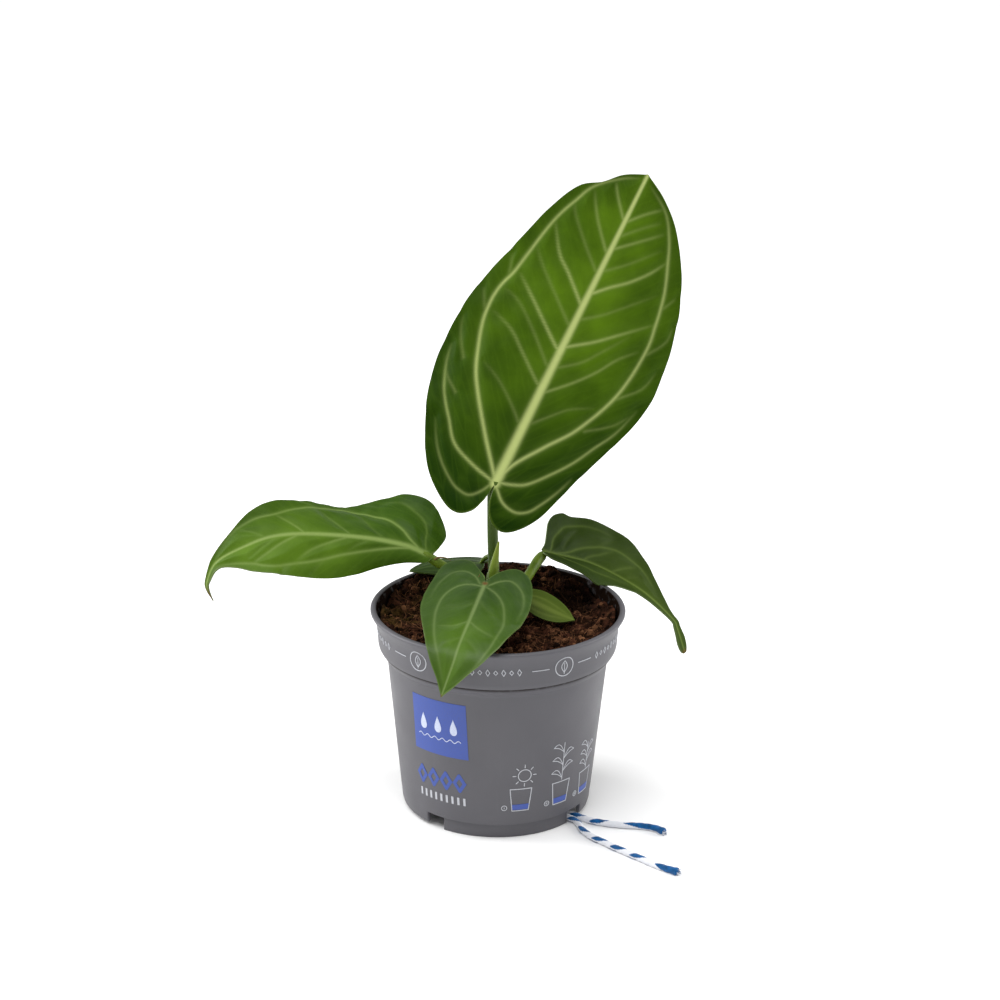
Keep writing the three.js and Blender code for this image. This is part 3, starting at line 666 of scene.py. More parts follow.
def ramp(nodes, source, low, high, out_low=0.0, out_high=1.0):
    return add(nodes, "MapRange", Value=source, From_Min=low, From_Max=high, To_Min=out_low,
               To_Max=out_high).outputs["Result"]


def clouds(nodes, vector, scale, detail=3.0, roughness=0.55):
    return add(nodes, "TexNoise", Vector=vector, Scale=scale, Detail=detail,
               Roughness=roughness).outputs["Fac"]


def attribute(nodes, name, output="Fac"):
    return add(nodes, "Attribute", {"attribute_name": name}).outputs[output]


def coordinates(nodes, scale=(1, 1, 1)):
    """Object coordinates, stretched by scale."""
    source = nodes.new("ShaderNodeTexCoord").outputs["Object"]
    return add(nodes, "Mapping", Vector=source, Scale=scale).outputs["Vector"]


def object_z(nodes):
    return add(nodes, "SeparateXYZ", Vector=coordinates(nodes)).outputs["Z"]


def reach(nodes, x, y, z, rise=1):
    """Distance in metres from a place in millimetres, along the floor only where rise is 0."""
    moved = add(nodes, "Mapping", Vector=coordinates(nodes), Scale=(1, 1, rise),
                Location=(-POT_X - x * MM, -POT_Y - y * MM, -z * MM))
    return add(nodes, "VectorMath", {"operation": "LENGTH"}, Vector=moved.outputs["Vector"]).outputs["Value"]


def new_material(name, roughness, shine, **inputs):
    material = bpy.data.materials.new(name)
    material.use_nodes = True
    nodes = material.node_tree.nodes
    shader = nodes["Principled BSDF"]
    feed_all(shader, {"Roughness": roughness, "Specular_IOR_Level": shine, **inputs})
    return material, nodes, shader


def finish(shader, colour, relief=None, strength=0.0, distance=0.0002):
    """Gives the shader its colour and, where there is relief, its bumps."""
    feed(shader.inputs["Base Color"], colour)
    if relief is not None:
        node = add(shader.id_data.nodes, "Bump", Strength=strength, Distance=distance, Height=relief)
        feed(shader.inputs["Normal"], node.outputs["Normal"])


def new_group(name, inputs, outputs):
    group = bpy.data.node_groups.new(name, "ShaderNodeTree")
    for way, sockets in (("INPUT", inputs), ("OUTPUT", outputs)):
        for label, kind in sockets.items():
            group.interface.new_socket(label, in_out=way, socket_type="NodeSocket" + kind)
    return group, group.nodes.new("NodeGroupInput").outputs, group.nodes.new("NodeGroupOutput").inputs


def mottle_group():
    """Soft patches and finer grain, as masks."""
    group, enter, leave = new_group(
        "Mottle", {"Vector": "Vector", "Patch Scale": "Float", "Grain Scale": "Float"},
        {"Patches": "Float", "Grain": "Float"})
    for label, scale, detail in (("Patches", "Patch Scale", 3.0), ("Grain", "Grain Scale", 2.0)):
        cloud = clouds(group.nodes, enter["Vector"], enter[scale], detail, 0.5)
        feed(leave[label], ramp(group.nodes, cloud, 0.3, 0.7))
    return group


def net_group():
    """Streaks along the side veins and the fine net between them, from the blade's own flat map."""
    group, enter, leave = new_group("Leaf net", {"Vector": "Vector"}, {"Streaks": "Float", "Net": "Float"})
    nodes = group.nodes
    wide, narrow = (add(nodes, "Mapping", Vector=enter["Vector"], Scale=scale).outputs["Vector"]
                    for scale in ((11.0, 2.4, 1.0), (17.0, 7.0, 1.0)))
    feed(leave["Streaks"], ramp(nodes, clouds(nodes, wide, 1.0, 2.0, 0.5), 0.4, 0.68))
    cells = add(nodes, "TexVoronoi", {"feature": "DISTANCE_TO_EDGE"}, Scale=1.0, Vector=narrow)
    feed(leave["Net"], ramp(nodes, cells.outputs["Distance"], 0.0, 0.12, 1.0, 0.0))
    return group


MOTTLE = mottle_group()
LEAF_NET = net_group()


def mottled(nodes, patch, grain, stretch=(1, 1, 1)):
    """The patches and the grain, at these scales."""
    node = add(nodes, "Group", {"node_tree": MOTTLE}, Patch_Scale=patch, Grain_Scale=grain,
               Vector=coordinates(nodes, stretch))
    return node.outputs["Patches"], node.outputs["Grain"]


def vein_parts(nodes):
    return add(nodes, "SeparateColor", Color=attribute(nodes, "veins", "Color")).outputs


def leaf_material(name, dark, light, halo, vein, margin, roughness, shine):
    """The upper side of a blade, coloured by its vein masks, by streaks along its side veins and by painted
    light and shade.
    """
    material, nodes, shader = new_material(name, roughness, shine)
    parts = vein_parts(nodes)
    run = add(nodes, "UVMap", {"uv_map": "run"}).outputs["UV"]
    net = add(nodes, "Group", {"node_tree": LEAF_NET}, Vector=run).outputs
    patches, grain = mottled(nodes, 55.0, 1500.0)
    # The blade turns towards its light colour where light is painted on it, and stays dark where shade is
    # painted.
    colour = layered(
        nodes, dark, (attribute(nodes, "painted_light"), light), (times(nodes, net["Streaks"], 0.12), light),
        (times(nodes, patches, 0.46), dark), (times(nodes, net["Net"], 0.08), halo),
        (parts["Green"], halo), (parts["Red"], vein), (parts["Blue"], margin),
        (attribute(nodes, "dry"), srgb(92, 66, 32)))
    feed(shader.inputs["Roughness"], ramp(nodes, patches, 0.0, 1.0, roughness - 0.05, roughness + 0.07))
    finish(shader, colour, grain, 0.16)
    return material


def under_material(name, green, pale):
    """The duller and paler lower side of a blade."""
    material, nodes, shader = new_material(name, 0.55, 0.35)
    patches, grain = mottled(nodes, 70.0, 1300.0)
    colour = layered(nodes, green, (times(nodes, patches, 0.35), pale), (vein_parts(nodes)["Green"], pale))
    finish(shader, colour, grain, 0.15)
    return material


def stalk_material(name, green, tint, low_colour):
    """A stalk: smooth and faintly ribbed along its length, redder where it leaves the soil."""
    material, nodes, shader = new_material(name, 0.42, 0.25)
    patches, grain = mottled(nodes, 160.0, 1800.0, (1, 1, 0.15))
    foot = ramp(nodes, object_z(nodes), 0.093, 0.106, 1.0, 0.0)
    finish(shader, layered(nodes, green, (patches, tint), (times(nodes, foot, 0.75), low_colour)),
           grain, 0.12)
    return material


def spike_material():
    """Fresh green, yellower towards the tip and browner at the foot."""
    material, nodes, shader = new_material("rolled_leaf", 0.4, 0.25)
    patches, grain = mottled(nodes, 140.0, 1500.0, (1, 1, 0.2))
    tip = ramp(nodes, object_z(nodes), 0.112, 0.13)
    foot = ramp(nodes, object_z(nodes), 0.094, 0.104, 0.6, 0.0)
    colour = layered(nodes, srgb(66, 92, 14), (patches, srgb(92, 116, 24)), (tip, srgb(120, 134, 44)),
                     (foot, srgb(120, 84, 46)))
    finish(shader, colour, grain, 0.15)
    return material


def wick_material(settings):
    """Cotton: the strand mask picks the dyed strand, and fine fibres run all over it."""
    material, nodes, shader = new_material("cotton", 0.85, 0.2, Sheen_Weight=0.25)
    fibres = clouds(nodes, coordinates(nodes), 2600.0)
    patch = ramp(nodes, clouds(nodes, coordinates(nodes), 420.0, 2.0), 0.35, 0.65)
    white = mix(nodes, fibres, srgb(238, 239, 243), srgb(210, 213, 221))
    blue = mix(nodes, patch, (*settings.blue, 1), tuple(c * 0.55 for c in settings.blue) + (1,))
    finish(shader, mix(nodes, attribute(nodes, "strand"), white, blue), fibres, 0.5, 0.0003)
    return material


def inner_dust_and_shade(nodes):
    """Soil clinging to the inside of the wall together with painted shade, thickest near the soil and broken
    towards the rim.
    """
    limit = ramp(nodes, object_z(nodes), 0.088, 0.099, 0.0557, 0.0586)
    past = add(nodes, "Math", {"operation": "SUBTRACT"})
    feed(past.inputs[0], reach(nodes, 0, 0, 0, 0))
    feed(past.inputs[1], limit)
    inside = ramp(nodes, past.outputs[0], -0.0002, 0.0, 1.0, 0.0)
    above = ramp(nodes, object_z(nodes), 0.078, 0.08)
    low = ramp(nodes, object_z(nodes), 0.0984, 0.0992, 1.0, 0.0)
    clumps = ramp(nodes, clouds(nodes, coordinates(nodes), 260.0, 4.0), 0.2, 0.45, 0.3, 1.0)
    return times(nodes, times(nodes, inside, above), times(nodes, clumps, low))


def plastic_material(settings):
    """Matte moulded plastic: fine grain, faint scuffs, and on the inside a little dust from the soil with
    painted shade.
    """
    material, nodes, shader = new_material("pot_plastic", 0.5, 0.5)
    patches, grain = mottled(nodes, 38.0, 2600.0)
    scuffs = clouds(nodes, coordinates(nodes, (1, 1, 0.12)), 240.0, 4.0)
    # Dark brown on the inner wall above the soil: part soil dust, part painted shade.
    dust_and_shade = inner_dust_and_shade(nodes)
    darker, paler = (tuple(c * share for c in settings.plastic) + (1,) for share in (0.88, 1.35))
    colour = layered(nodes, (*settings.plastic, 1), (times(nodes, patches, 0.35), darker),
                     (ramp(nodes, scuffs, 0.62, 0.8, 0.0, 0.25), paler), (dust_and_shade, srgb(24, 16, 11)))
    feed(shader.inputs["Roughness"], ramp(nodes, patches, 0.0, 1.0, 0.44, 0.56))
    feed(shader.inputs["Specular IOR Level"], ramp(nodes, dust_and_shade, 0.0, 1.0, 0.5, 0.0))
    finish(shader, colour, grain, 0.1)
    return material


def ink_material(name, colour, below):
    """Printed ink, slightly worn through to what is below it."""
    material, nodes, shader = new_material(name, 0.5, 0.4)
    grain = mottled(nodes, 160.0, 2400.0)[1]
    finish(shader, mix(nodes, ramp(nodes, grain, 0.5, 1.0, 0.0, 0.28), colour, below))
    return material


def soil_material(settings):
    """Dark peat with reddish and olive patches and spots of painted shade. Each loose bit has a tint of its
    own.
    """
    material, nodes, shader = new_material("soil_mix", 1.0, 0.03)
    fine = clouds(nodes, coordinates(nodes), 900.0, 5.0, 0.7)
    wide = clouds(nodes, coordinates(nodes), 70.0, 4.0)
    red = clouds(nodes, coordinates(nodes, (1, 1.7, 1)), 210.0)
    tint = attribute(nodes, "tint")
    layers = [
        (ramp(nodes, fine, 0.35, 0.65), (*settings.brown, 1)),
        (ramp(nodes, red, 0.46, 0.64, 0, 0.85), srgb(74, 44, 31)),
        (ramp(nodes, wide, 0.55, 0.7, 0, 0.3), srgb(46, 42, 16)),
        (ramp(nodes, tint, 0.55, 1.0), srgb(122, 84, 58)),
        (ramp(nodes, tint, 0.0, 0.45, 1.0, 0.0), srgb(18, 10, 7)),
    ]
    # The darkest spots are painted shade on the soil.
    for spots, most, colour in ((PAINTED_SHADE_SPOTS, 0.8, srgb(12, 7, 5)), (MOSS_SPOTS, 0.5, srgb(86, 70, 30))):
        for x, y, size in spots:
            mask = ramp(nodes, reach(nodes, x, y, SPOT_Z), size * MM * 0.5, size * MM, most, 0.0)
            if spots is MOSS_SPOTS:
                mask = times(nodes, mask, ramp(nodes, red, 0.4, 0.6))
            layers.append((mask, colour))
    finish(shader, layered(nodes, srgb(12, 7, 5), *layers), fine, 0.7, 0.0006)
    return material


# Blades


class Blade:
    """The part's own leaf: x along the midrib, width to either side, laid on the rib in space."""

    def __init__(self, spec):
        self.spec = spec
        self.path = spline(spec["rib"], np.linspace(0, 1, 81))
        self.run = run_along(self.path)
        self.length = self.run[-1]

    def rib_point(self, x):
        x = np.asarray(x, float)
        at = np.stack([np.interp(x, self.run, self.path[:, k]) for k in range(3)], -1)
        ahead = (self.path[1] - self.path[0]) / np.linalg.norm(self.path[1] - self.path[0])
        return at + np.minimum(x, 0)[..., None] * ahead

    def axes(self, x):
        near = self.length * 0.01
        at = np.clip(np.asarray(x, float), 0, self.length)
        ahead = self.rib_point(np.minimum(at + near, self.length)) - self.rib_point(np.maximum(at - near, 0))
        ahead /= np.linalg.norm(ahead, axis=-1, keepdims=True)
        up = spline(self.spec["face"], at / self.length)
        up = up - ahead * np.sum(up * ahead, axis=-1, keepdims=True)
        up /= np.linalg.norm(up, axis=-1, keepdims=True)
        return up, np.cross(up, ahead)

    def upward(self):
        return self.axes(np.array([self.length / 2]))[0][0]

    def point(self, x, y):
        """Where a flat place lies: y is the width, above zero on the first side."""
        x, y = np.asarray(x, float), np.asarray(y, float)
        t = np.clip(x / self.length, 0, 1)
        up, out = self.axes(x)
        first = y >= 0
        angles = []
        for key in ("fold", "curl"):
            both = [spline(side, t)[..., 0] for side in self.spec[key]]
            angles.append(np.radians(np.where(first, both[0], both[1])))
        start, turn = angles
        turn = np.where(np.abs(turn) < 1e-4, 1e-4, turn)
        half = self.spec["half"]
        w = np.abs(y) / half
        across = half * (np.sin(start + turn * w) - np.sin(start)) / turn
        arch = -half * (np.cos(start + turn * w) - np.cos(start)) / turn
        size, waves, shift = self.spec["wave"]
        side = np.where(first, 0.0, 0.35)
        ripple = size * w * w * np.sin(2 * np.pi * (waves * t + shift + side))
        return (self.rib_point(x) + out * np.where(first, across, -across)[..., None]
                + up * (arch + ripple)[..., None])

    def grid(self, rows, across):
        """Flat places of every row, from one margin to the other, and their share of the width."""
        t = np.linspace(0, 1, 600)
        steps = [np.linalg.norm(np.diff(spline(side, t), axis=0), axis=1) for side in self.spec["outline"]]
        run = np.r_[0, np.cumsum(steps[0] + steps[1])]
        t = np.interp(np.linspace(0, run[-1], rows + 1), run, t)
        edges = [spline(side, t) for side in self.spec["outline"]]
        foot = np.clip((edges[0][:, 0] + edges[1][:, 0]) / 2, 0, self.length)
        k = np.arange(-across, across + 1)
        v = np.abs(k) / across
        side = np.where(k < 0, 0, 1)
        edge_x = np.stack([edges[0][:, 0], edges[1][:, 0]], 1)[:, side]
        edge_w = np.maximum(np.stack([edges[0][:, 1], edges[1][:, 1]], 1)[:, side], TIP_HALF_W)
        x = foot[:, None] + (edge_x - foot[:, None]) * v
        return x, edge_w * v * np.where(k < 0, 1, -1), np.broadcast_to(v, x.shape)


def line_length(line):
    return np.sum(np.linalg.norm(np.diff(np.array(line, float), axis=0), axis=1))


def nearest(x, y, line):
    """Distance from every flat place to a vein, and how far along the vein that is."""
    count = max(int(line_length(line) / 0.4), 8)
    best = np.full(x.shape, 1e9)
    share = np.zeros(x.shape)
    for i, (px, py) in enumerate(spline(line, np.linspace(0, 1, count))):
        d = (x - px) ** 2 + (y - py) ** 2
        closer = d < best
        best[closer] = d[closer]
        share[closer] = i / (count - 1)
    return np.sqrt(best), share


def vein_masks(spec, x, y):
    """Core and halo of all the veins, and the distance to them, at each flat place."""
    core = np.zeros(x.shape)
    halo = np.zeros(x.shape)
    near = np.full(x.shape, 1e9)
    main = spec["rib_w"]
    length = max(point[0] for point in spec["outline"][0])
    ribs = [([(0.0, 0.0), (length * 0.5, 0.0), (length, 0.0)], main, 1.0, 2.4, 0.1, 3)]
    size = main[0] / 2.4
    # Each kind's width at both ends, strength, spread of its halo and loss towards its end
    for kind, width, strength, spread, loss in (
            ("veins", (0.75 * size + 0.2, 0.75), 0.78, 3.4, 0.5),
            ("side", (0.6 * size + 0.2, 0.75), 0.62, 3.4, 0.55),
            ("minor", (0.5 * size + 0.25, 0.75), 0.34, 2.8, 0.5),
            ("faint", (0.8, 0.75), 0.17, 2.2, 0.5)):
        ribs += [(line, width, strength, spread, loss, 1.8) for line in spec[kind]]
    for line, width, strength, spread, loss, edge in ribs:
        distance, share = nearest(x, y, line)
        w = width[0] + (width[1] - width[0]) * share
        fade = strength * spec["vivid"] * (1 - loss * share)
        if loss > 0.2:
            fade = fade * np.clip((1 - share) * 4, 0, 1) ** 0.6
        core = np.maximum(core, fade * np.exp(-(distance / w) ** edge))
        halo = np.maximum(halo, fade * 0.5 * np.exp(-(distance / (w * spread)) ** 1.4))
        near = np.minimum(near, distance + (0 if strength > 0.25 else 1.5))
    return np.clip(core, 0, 1), np.clip(halo, 0, 1), near


def skin(blade, x, y, relief):
    """The blade's true surface at flat places, swollen between its veins: points, normals and masks."""
    spec = blade.spec
    step = 0.05
    along = blade.point(x + step, y) - blade.point(x - step, y)
    beside = blade.point(x, y + step) - blade.point(x, y - step)
    normal = np.cross(along, beside)
    normal /= np.maximum(np.linalg.norm(normal, axis=-1, keepdims=True), 1e-9)
    if np.mean(normal @ blade.upward()) < 0:
        normal = -normal
    core, halo, near = vein_masks(spec, x, y)
    swell = relief * spec["puff"] * (1 - np.exp(-(near / 3.5) ** 2)) - 0.15 * core
    drift = [sum(share * noise.noise(Vector((a * scale, b * scale, spec["half"])))
                 for scale, share in ((0.06, 1), (0.15, 0.45))) for a, b in zip(x.ravel(), y.ravel())]
    swell += spec["uneven"] * np.reshape(drift, x.shape) * np.minimum(np.abs(y) / spec["half"], 1)
    return blade.point(x, y) + normal * swell[..., None], normal, core, halo


def leaf_blade(name, spec, settings, materials):
    """A fine blade: a grid laid on the part's form, with its masks for the material."""
    blade = Blade(spec)
    rows, across = spec["grid"]
    x, y, v = blade.grid(rows, across)
    at, _, core, halo = skin(blade, x, y, settings.relief / MM)
    along = x / blade.length

    deselect()
    bpy.ops.mesh.primitive_grid_add(x_subdivisions=2 * across, y_subdivisions=rows, size=1)
    obj = bpy.context.object
    obj.name = name
    move_points(obj, at.reshape(-1, 3))
    margin = np.clip((v - (1 - 0.9 / np.maximum(np.abs(y).max(1, keepdims=True), 2))) * 12, 0, 1)
    paint(obj, "veins", np.stack([core, halo, margin * 0.55, np.ones(x.shape)], -1), "FLOAT_COLOR")
    # Painted light and shade: a broad lighter zone up the middle of the blade, one side painted lighter by
    # lift, a painted shade by the midrib near the base and a painted shade over the tip.
    painted_light = np.exp(-((along - 0.68) / 0.52) ** 2)
    painted_light = painted_light * (0.3 + 0.7 * np.exp(-(v / 0.7) ** 2)) + spec["lift"] * np.clip(y / 6, -1, 1)
    painted_light -= 0.35 * np.exp(-(y / 9) ** 2 - ((along - 0.15) / 0.2) ** 2)
    painted_light *= 1 - spec["tip_shade"] * np.clip((along - 0.7) / 0.2, 0, 1)
    paint(obj, "painted_light", np.clip(painted_light, 0, 1))
    dry = np.zeros(x.shape)
    for spot_x, spot_y, size in spec["dry"]:
        dry = np.maximum(dry, np.exp(-(((x - spot_x) ** 2 + (y - spot_y) ** 2) / size ** 2) ** 2))
    paint(obj, "dry", dry)
    mesh = obj.data
    layer = mesh.uv_layers[0]
    layer.name = "run"
    flat = np.stack([(x - 1.15 * np.abs(y)) / 100, np.abs(y) / 100], -1).reshape(-1, 2)
    corners = np.empty(len(mesh.loops), dtype=int)
    mesh.loops.foreach_get("vertex_index", corners)
    layer.data.foreach_set("uv", flat[corners].ravel())

    clean(obj, 0.02)
    faces_up = np.array([p.normal for p in mesh.polygons]) @ blade.upward()
    if faces_up.mean() < 0:
        mesh.flip_normals()
    for material in materials:
        mesh.materials.append(material)
    modify(obj, "SOLIDIFY", thickness=settings.thickness / MM, offset=0.0, use_rim=True,
           material_offset=1, material_offset_rim=1, use_quality_normals=True)
    smooth(obj, 60)
    return obj, blade


def ridges(name, blade, relief, material):
    """The raised veins of the lower side, sunk in the blade."""
    spec = blade.spec
    size = spec["rib_w"][0] / 2.3
    tip = max(point[0] for point in spec["outline"][0])
    lines = [([(0.5, 0), (tip * 0.3, 0), (tip * 0.6, 0), (tip * 0.93, 0)], 1.15 * size, 0.7)]
    lines += [(line, 0.42 * size + 0.15, 1.0) for line in spec["veins"] + spec["side"] + spec["minor"]]
    flats, radii = [], []
    for line, radius, power in lines:
        share = np.linspace(0, 1, max(int(line_length(line) / 1.6), 4))
        flats.append(spline(line, share))
        radii.append(radius * (1 - share) ** power + 0.2)
    flat = np.vstack(flats)
    on, normal, _, _ = skin(blade, flat[:, 0], flat[:, 1], relief)
    on = on - normal * (np.concatenate(radii) - 0.1)[:, None]
    parts = []
    for radius in radii:
        route, on = on[:len(radius)], on[len(radius):]
        parts.append(tube(name + "_vein", route, radius, 0 if parts else 1, material))
    return parts


def stalk(name, blade, material):
    """The stalk, upright in the soil, with a sheath at its foot and a swollen joint at the blade."""
    spec = blade.spec
    up, _ = blade.axes(np.array([RIB_RUN]))
    end = blade.rib_point(np.array([RIB_RUN]))[0] - up[0] * RIB_DEPTH
    x, y = spec["stalk"][0][:2]
    path = even_curve([(x, y, STEM_FOOT_Z), (x, y, STEM_FOOT_Z + 7), *spec["stalk"], tuple(end)], 1.0)
    share = np.linspace(0, 1, len(path))
    length = len(path) - 1.0
    low, high = spec["stalk_r"]
    radius = low + (high - low) * share
    joint = np.exp(-((share * length - (length - 7)) / 4.5) ** 2)
    radius = radius * (1 + 0.12 * joint)
    radius *= 1 - 0.5 * np.clip((share - 0.94) / 0.06, 0, 1)
    radius *= 1 + 0.14 * np.clip(1 - (path[:, 2] - 92) / 14, 0, 1)
    obj = tube(name + "_stalk", path, radius, 4, material)
    smooth(obj, 60)
    return obj


# Operators


class ANTHURIUM_OT_stage(bpy.types.Operator):
    """Add the camera, the pale floor and the soft lights"""

    bl_idname = "anthurium.stage"
    bl_label = "Camera, floor and lights"

    def execute(self, context):
        settings = context.scene.anthurium_stage
        camera = bpy.data.objects.new("camera", bpy.data.cameras.new("camera"))
        camera.data.lens = CAMERA_LENS
        camera.data.sensor_width = 36
        camera.data.clip_end = 20
        forward = Vector((math.sin(CAMERA_TURN) * math.cos(CAMERA_DOWN),
                          math.cos(CAMERA_TURN) * math.cos(CAMERA_DOWN), -math.sin(CAMERA_DOWN)))
        right = forward.cross(Vector((0, 0, 1))).normalized()
        above = right.cross(forward)
        turn_c, turn_s = math.cos(CAMERA_ROLL), math.sin(CAMERA_ROLL)
        axes = Matrix((turn_c * right + turn_s * above, turn_c * above - turn_s * right, -forward))
        x, y, z = CAMERA_AT
        camera.matrix_world = Matrix.Translation((POT_X + x, POT_Y + y, z)) @ axes.transposed().to_4x4()
        context.scene.collection.objects.link(camera)
        context.scene.camera = camera

        deselect()
        bpy.ops.mesh.primitive_plane_add(size=FLOOR_SIZE, location=(0, 0, 0))
        floor = context.object
        floor.name = "floor"
        place(floor, Matrix.Identity(4))
        material, nodes, shader = new_material("floor_paper", 0.9, 0.1)
        grain = ramp(nodes, clouds(nodes, coordinates(nodes), 4.0), 0.3, 0.7)
        darker = tuple(c * 0.985 for c in settings.floor) + (1,)
        finish(shader, mix(nodes, grain, (*settings.floor, 1), darker))
        floor.data.materials.append(material)

        world = bpy.data.worlds.new("studio")
        world.use_nodes = True
        background = world.node_tree.nodes["Background"]
        background.inputs["Color"].default_value = (1.0, 1.0, 1.0, 1)
        background.inputs["Strength"].default_value = settings.sky
        context.scene.world = world
        for name, kind, at, share in LIGHTS:
            light = bpy.data.lights.new(name, kind)
            if kind == "SUN":
                light.energy = settings.sun * share
                light.angle = math.radians(SUN_DEG)
            else:
                light.energy = settings.side_power * share
                light.size = PANEL_SIZE
            lamp = bpy.data.objects.new(name, light)
            lamp.location = at
            lamp.rotation_euler = (LIGHTS_AIM - Vector(at)).to_track_quat("-Z", "Y").to_euler()
            context.scene.collection.objects.link(lamp)
        context.scene.view_settings.view_transform = "Standard"
        return {"FINISHED"}


class ANTHURIUM_OT_wick(bpy.types.Operator):
    """Add the wick's two twisted free ends"""

    bl_idname = "anthurium.wick"
    bl_label = "Wick"

    def execute(self, context):
        settings = context.scene.anthurium_wick
        material = wick_material(settings)
        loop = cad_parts["wick_loop"]
        loop.data.materials.clear()
        loop.data.materials.append(material)
        for name, route in WICK_ENDS.items():
            path = even_curve(route, 0.4)
            obj = twisted(name, path, settings.pitch / MM, material)
            fray = frayed(f"wick_{name}_fray", path, material, FRAY_SEEDS[name])
            place(obj)
            place(fray)
            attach(obj, "root")
            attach(fray, "root")
            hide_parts(f"wick_end_{name}")
        return {"FINISHED"}


def dyed(name, left, turn, pitch):
    """Whether the wick is dyed at a length from its free end and a turn from its upper side."""
    start, tail, middle = WICK_TAIL[name]
    if left < tail:
        return abs(turn - middle) < 1.6 * min((tail - left) / (0.5 * tail) + 0.1, 1)
    if left < start - pitch / 2:
        return False
    for side in (0, 1):
        near = (left - start - side * pitch / 2 + pitch / 2) % pitch - pitch / 2
        lean = (turn - math.pi * side - PATCH_LEAN * near + math.pi) % (2 * math.pi) - math.pi
        if (abs(near) / PATCH_HALF[0]) ** 1.5 + (abs(lean) / PATCH_HALF[1]) ** 1.5 < 1:
            return True
    return False


def twisted(name, path, pitch, material):
    """Three strands twisted together, as one skin with a groove between neighbours."""
    across, over = frames_along(path)
    run = run_along(path)
    turn = 2 * math.pi * run / pitch
    upper = np.arctan2(over @ WICK_SEEN_FROM, across @ WICK_SEEN_FROM)
    rings, sides = len(path), WICK_SIDES
    vertices, mask, faces = [], [], []
    for i in range(rings):
        left = run[-1] - run[i]
        close = 1 + 0.4 * math.exp(-left / 3.5) - 0.25 * math.exp(-left / 0.4)
        close -= 0.3 * math.exp(-run[i] / 0.5)
        for k in range(sides):
            a = 2 * math.pi * k / sides
            within = ((a + turn[i]) % (2 * math.pi / WICK_STRANDS)) * WICK_STRANDS / (2 * math.pi)
            bulge = math.sqrt(max(1 - (2 * within - 1) ** 2, 0))
            radius = WICK_D / 2 * (0.84 + 0.18 * bulge) * close
            at = path[i] + across[i] * radius * math.cos(a) + over[i] * radius * math.sin(a)
            vertices.append((at[0], at[1], max(at[2], 0.05)))
            lean = (a - upper[i] + math.pi) % (2 * math.pi) - math.pi
            mask.append(1.0 if dyed(name, left, lean, pitch) else 0.0)
            if i < rings - 1:
                n = (k + 1) % sides
                faces.append((i * sides + k, i * sides + n, (i + 1) * sides + n, (i + 1) * sides + k))
    hub = len(vertices)
    vertices += [path[0], path[-1]]
    mask += [0.0, 1.0]
    for k in range(sides):
        n = (k + 1) % sides
        faces.append((hub, n, k))
        faces.append((hub + 1, (rings - 1) * sides + k, (rings - 1) * sides + n))
    obj = new_mesh("wick_" + name, vertices, faces)
    clean(obj)
    paint(obj, "strand", mask)
    obj.data.materials.append(material)
    smooth(obj)
    return obj


def frayed(name, path, material, seed):
    """Short loose threads at the cut end, lying just above the floor."""
    draw = np.random.default_rng(seed)
    ahead = path[-1] - path[-3]
    ahead /= np.linalg.norm(ahead)
    beside = np.cross(ahead, (0, 0, 1))
    parts = []
    for i in range(LOOSE_THREADS):
        start = path[-1] - ahead * draw.uniform(0.6, 1.4)
        side = draw.uniform(-1.0, 1.0)
        rise = draw.uniform(-0.9, 0.9)
        start = start + beside * side + np.array((0, 0, rise))
        reached = draw.uniform(1.2, 2.6)
        tip = start + ahead * reached + beside * side * 0.5 + np.array((0, 0, rise * 0.3 - 0.1))
        tip[2] = max(tip[2], 0.2)
        start[2] = max(start[2], 0.3)
        middle = (start + tip) / 2 + np.array((0, 0, 0.15))
        thread = tube(name, [start, middle, tip], [0.17, 0.15, 0.08], 0)
        paint(thread, "strand", [0.0 if i % 3 == 0 else 1.0] * len(thread.data.vertices))
        parts.append(thread)
    obj = join(name, parts)
    obj.data.materials.clear()
    obj.data.materials.append(material)
    return obj


# The wall's section from the foot up the outside, over the lip and down the inside. The first
# OUTER_POINTS are the outside.
POT_PROFILE = (
    (BASE_R - 0.8, FLOOR_Z), (BASE_R + 0.15, FLOOR_Z + 0.5), (BASE_R + 0.45, FLOOR_Z + 1.6),
    (47.62, 30), (49.9, 53), (CREASE_R - 0.15, CREASE_Z - 1.2), (CREASE_R + 0.05, CREASE_Z - 0.2),
    (CREASE_R + 0.5, CREASE_Z + 0.5), (CREASE_R + 1.2, CREASE_Z + 1.15), (BAND_R - 1.1, CREASE_Z + 4.0),
    (BAND_R - 0.35, CREASE_Z + 5.4), (BAND_R, CREASE_Z + 7), (BAND_R + 0.4, POT_H - 9),
    (BAND_R + 0.8, POT_H - 6.8), (BAND_R + 1.6, POT_H - 5), (RIM_R - 1.1, POT_H - 3.1),
    (RIM_R - 0.45, POT_H - 2.1), (RIM_R - 0.05, POT_H - 1.3), (RIM_R, POT_H - 0.85),
    (RIM_R - 0.2, POT_H - 0.4), (RIM_R - 0.6, POT_H - 0.1), (RIM_R - 1.1, POT_H),
    (RIM_R - 2.0, POT_H), (RIM_R - 2.45, POT_H - 0.15), (RIM_R - 2.8, POT_H - 0.6),
    (RIM_R - 3.2, POT_H - 2), (BAND_R + 0.9 - WALL, POT_H - 6), (BAND_R - WALL, CREASE_Z + 7),
    (BAND_R - 1.2 - WALL, CREASE_Z + 4), (CREASE_R - WALL, CREASE_Z), (49.9 - WALL, 53),
    (47.62 - WALL, 30), (BASE_R + 0.5 - WALL, FLOOR_Z + FLOOR_T + 1),
    (BASE_R - 1.2 - WALL, FLOOR_Z + FLOOR_T),
)
OUTER_POINTS = 19
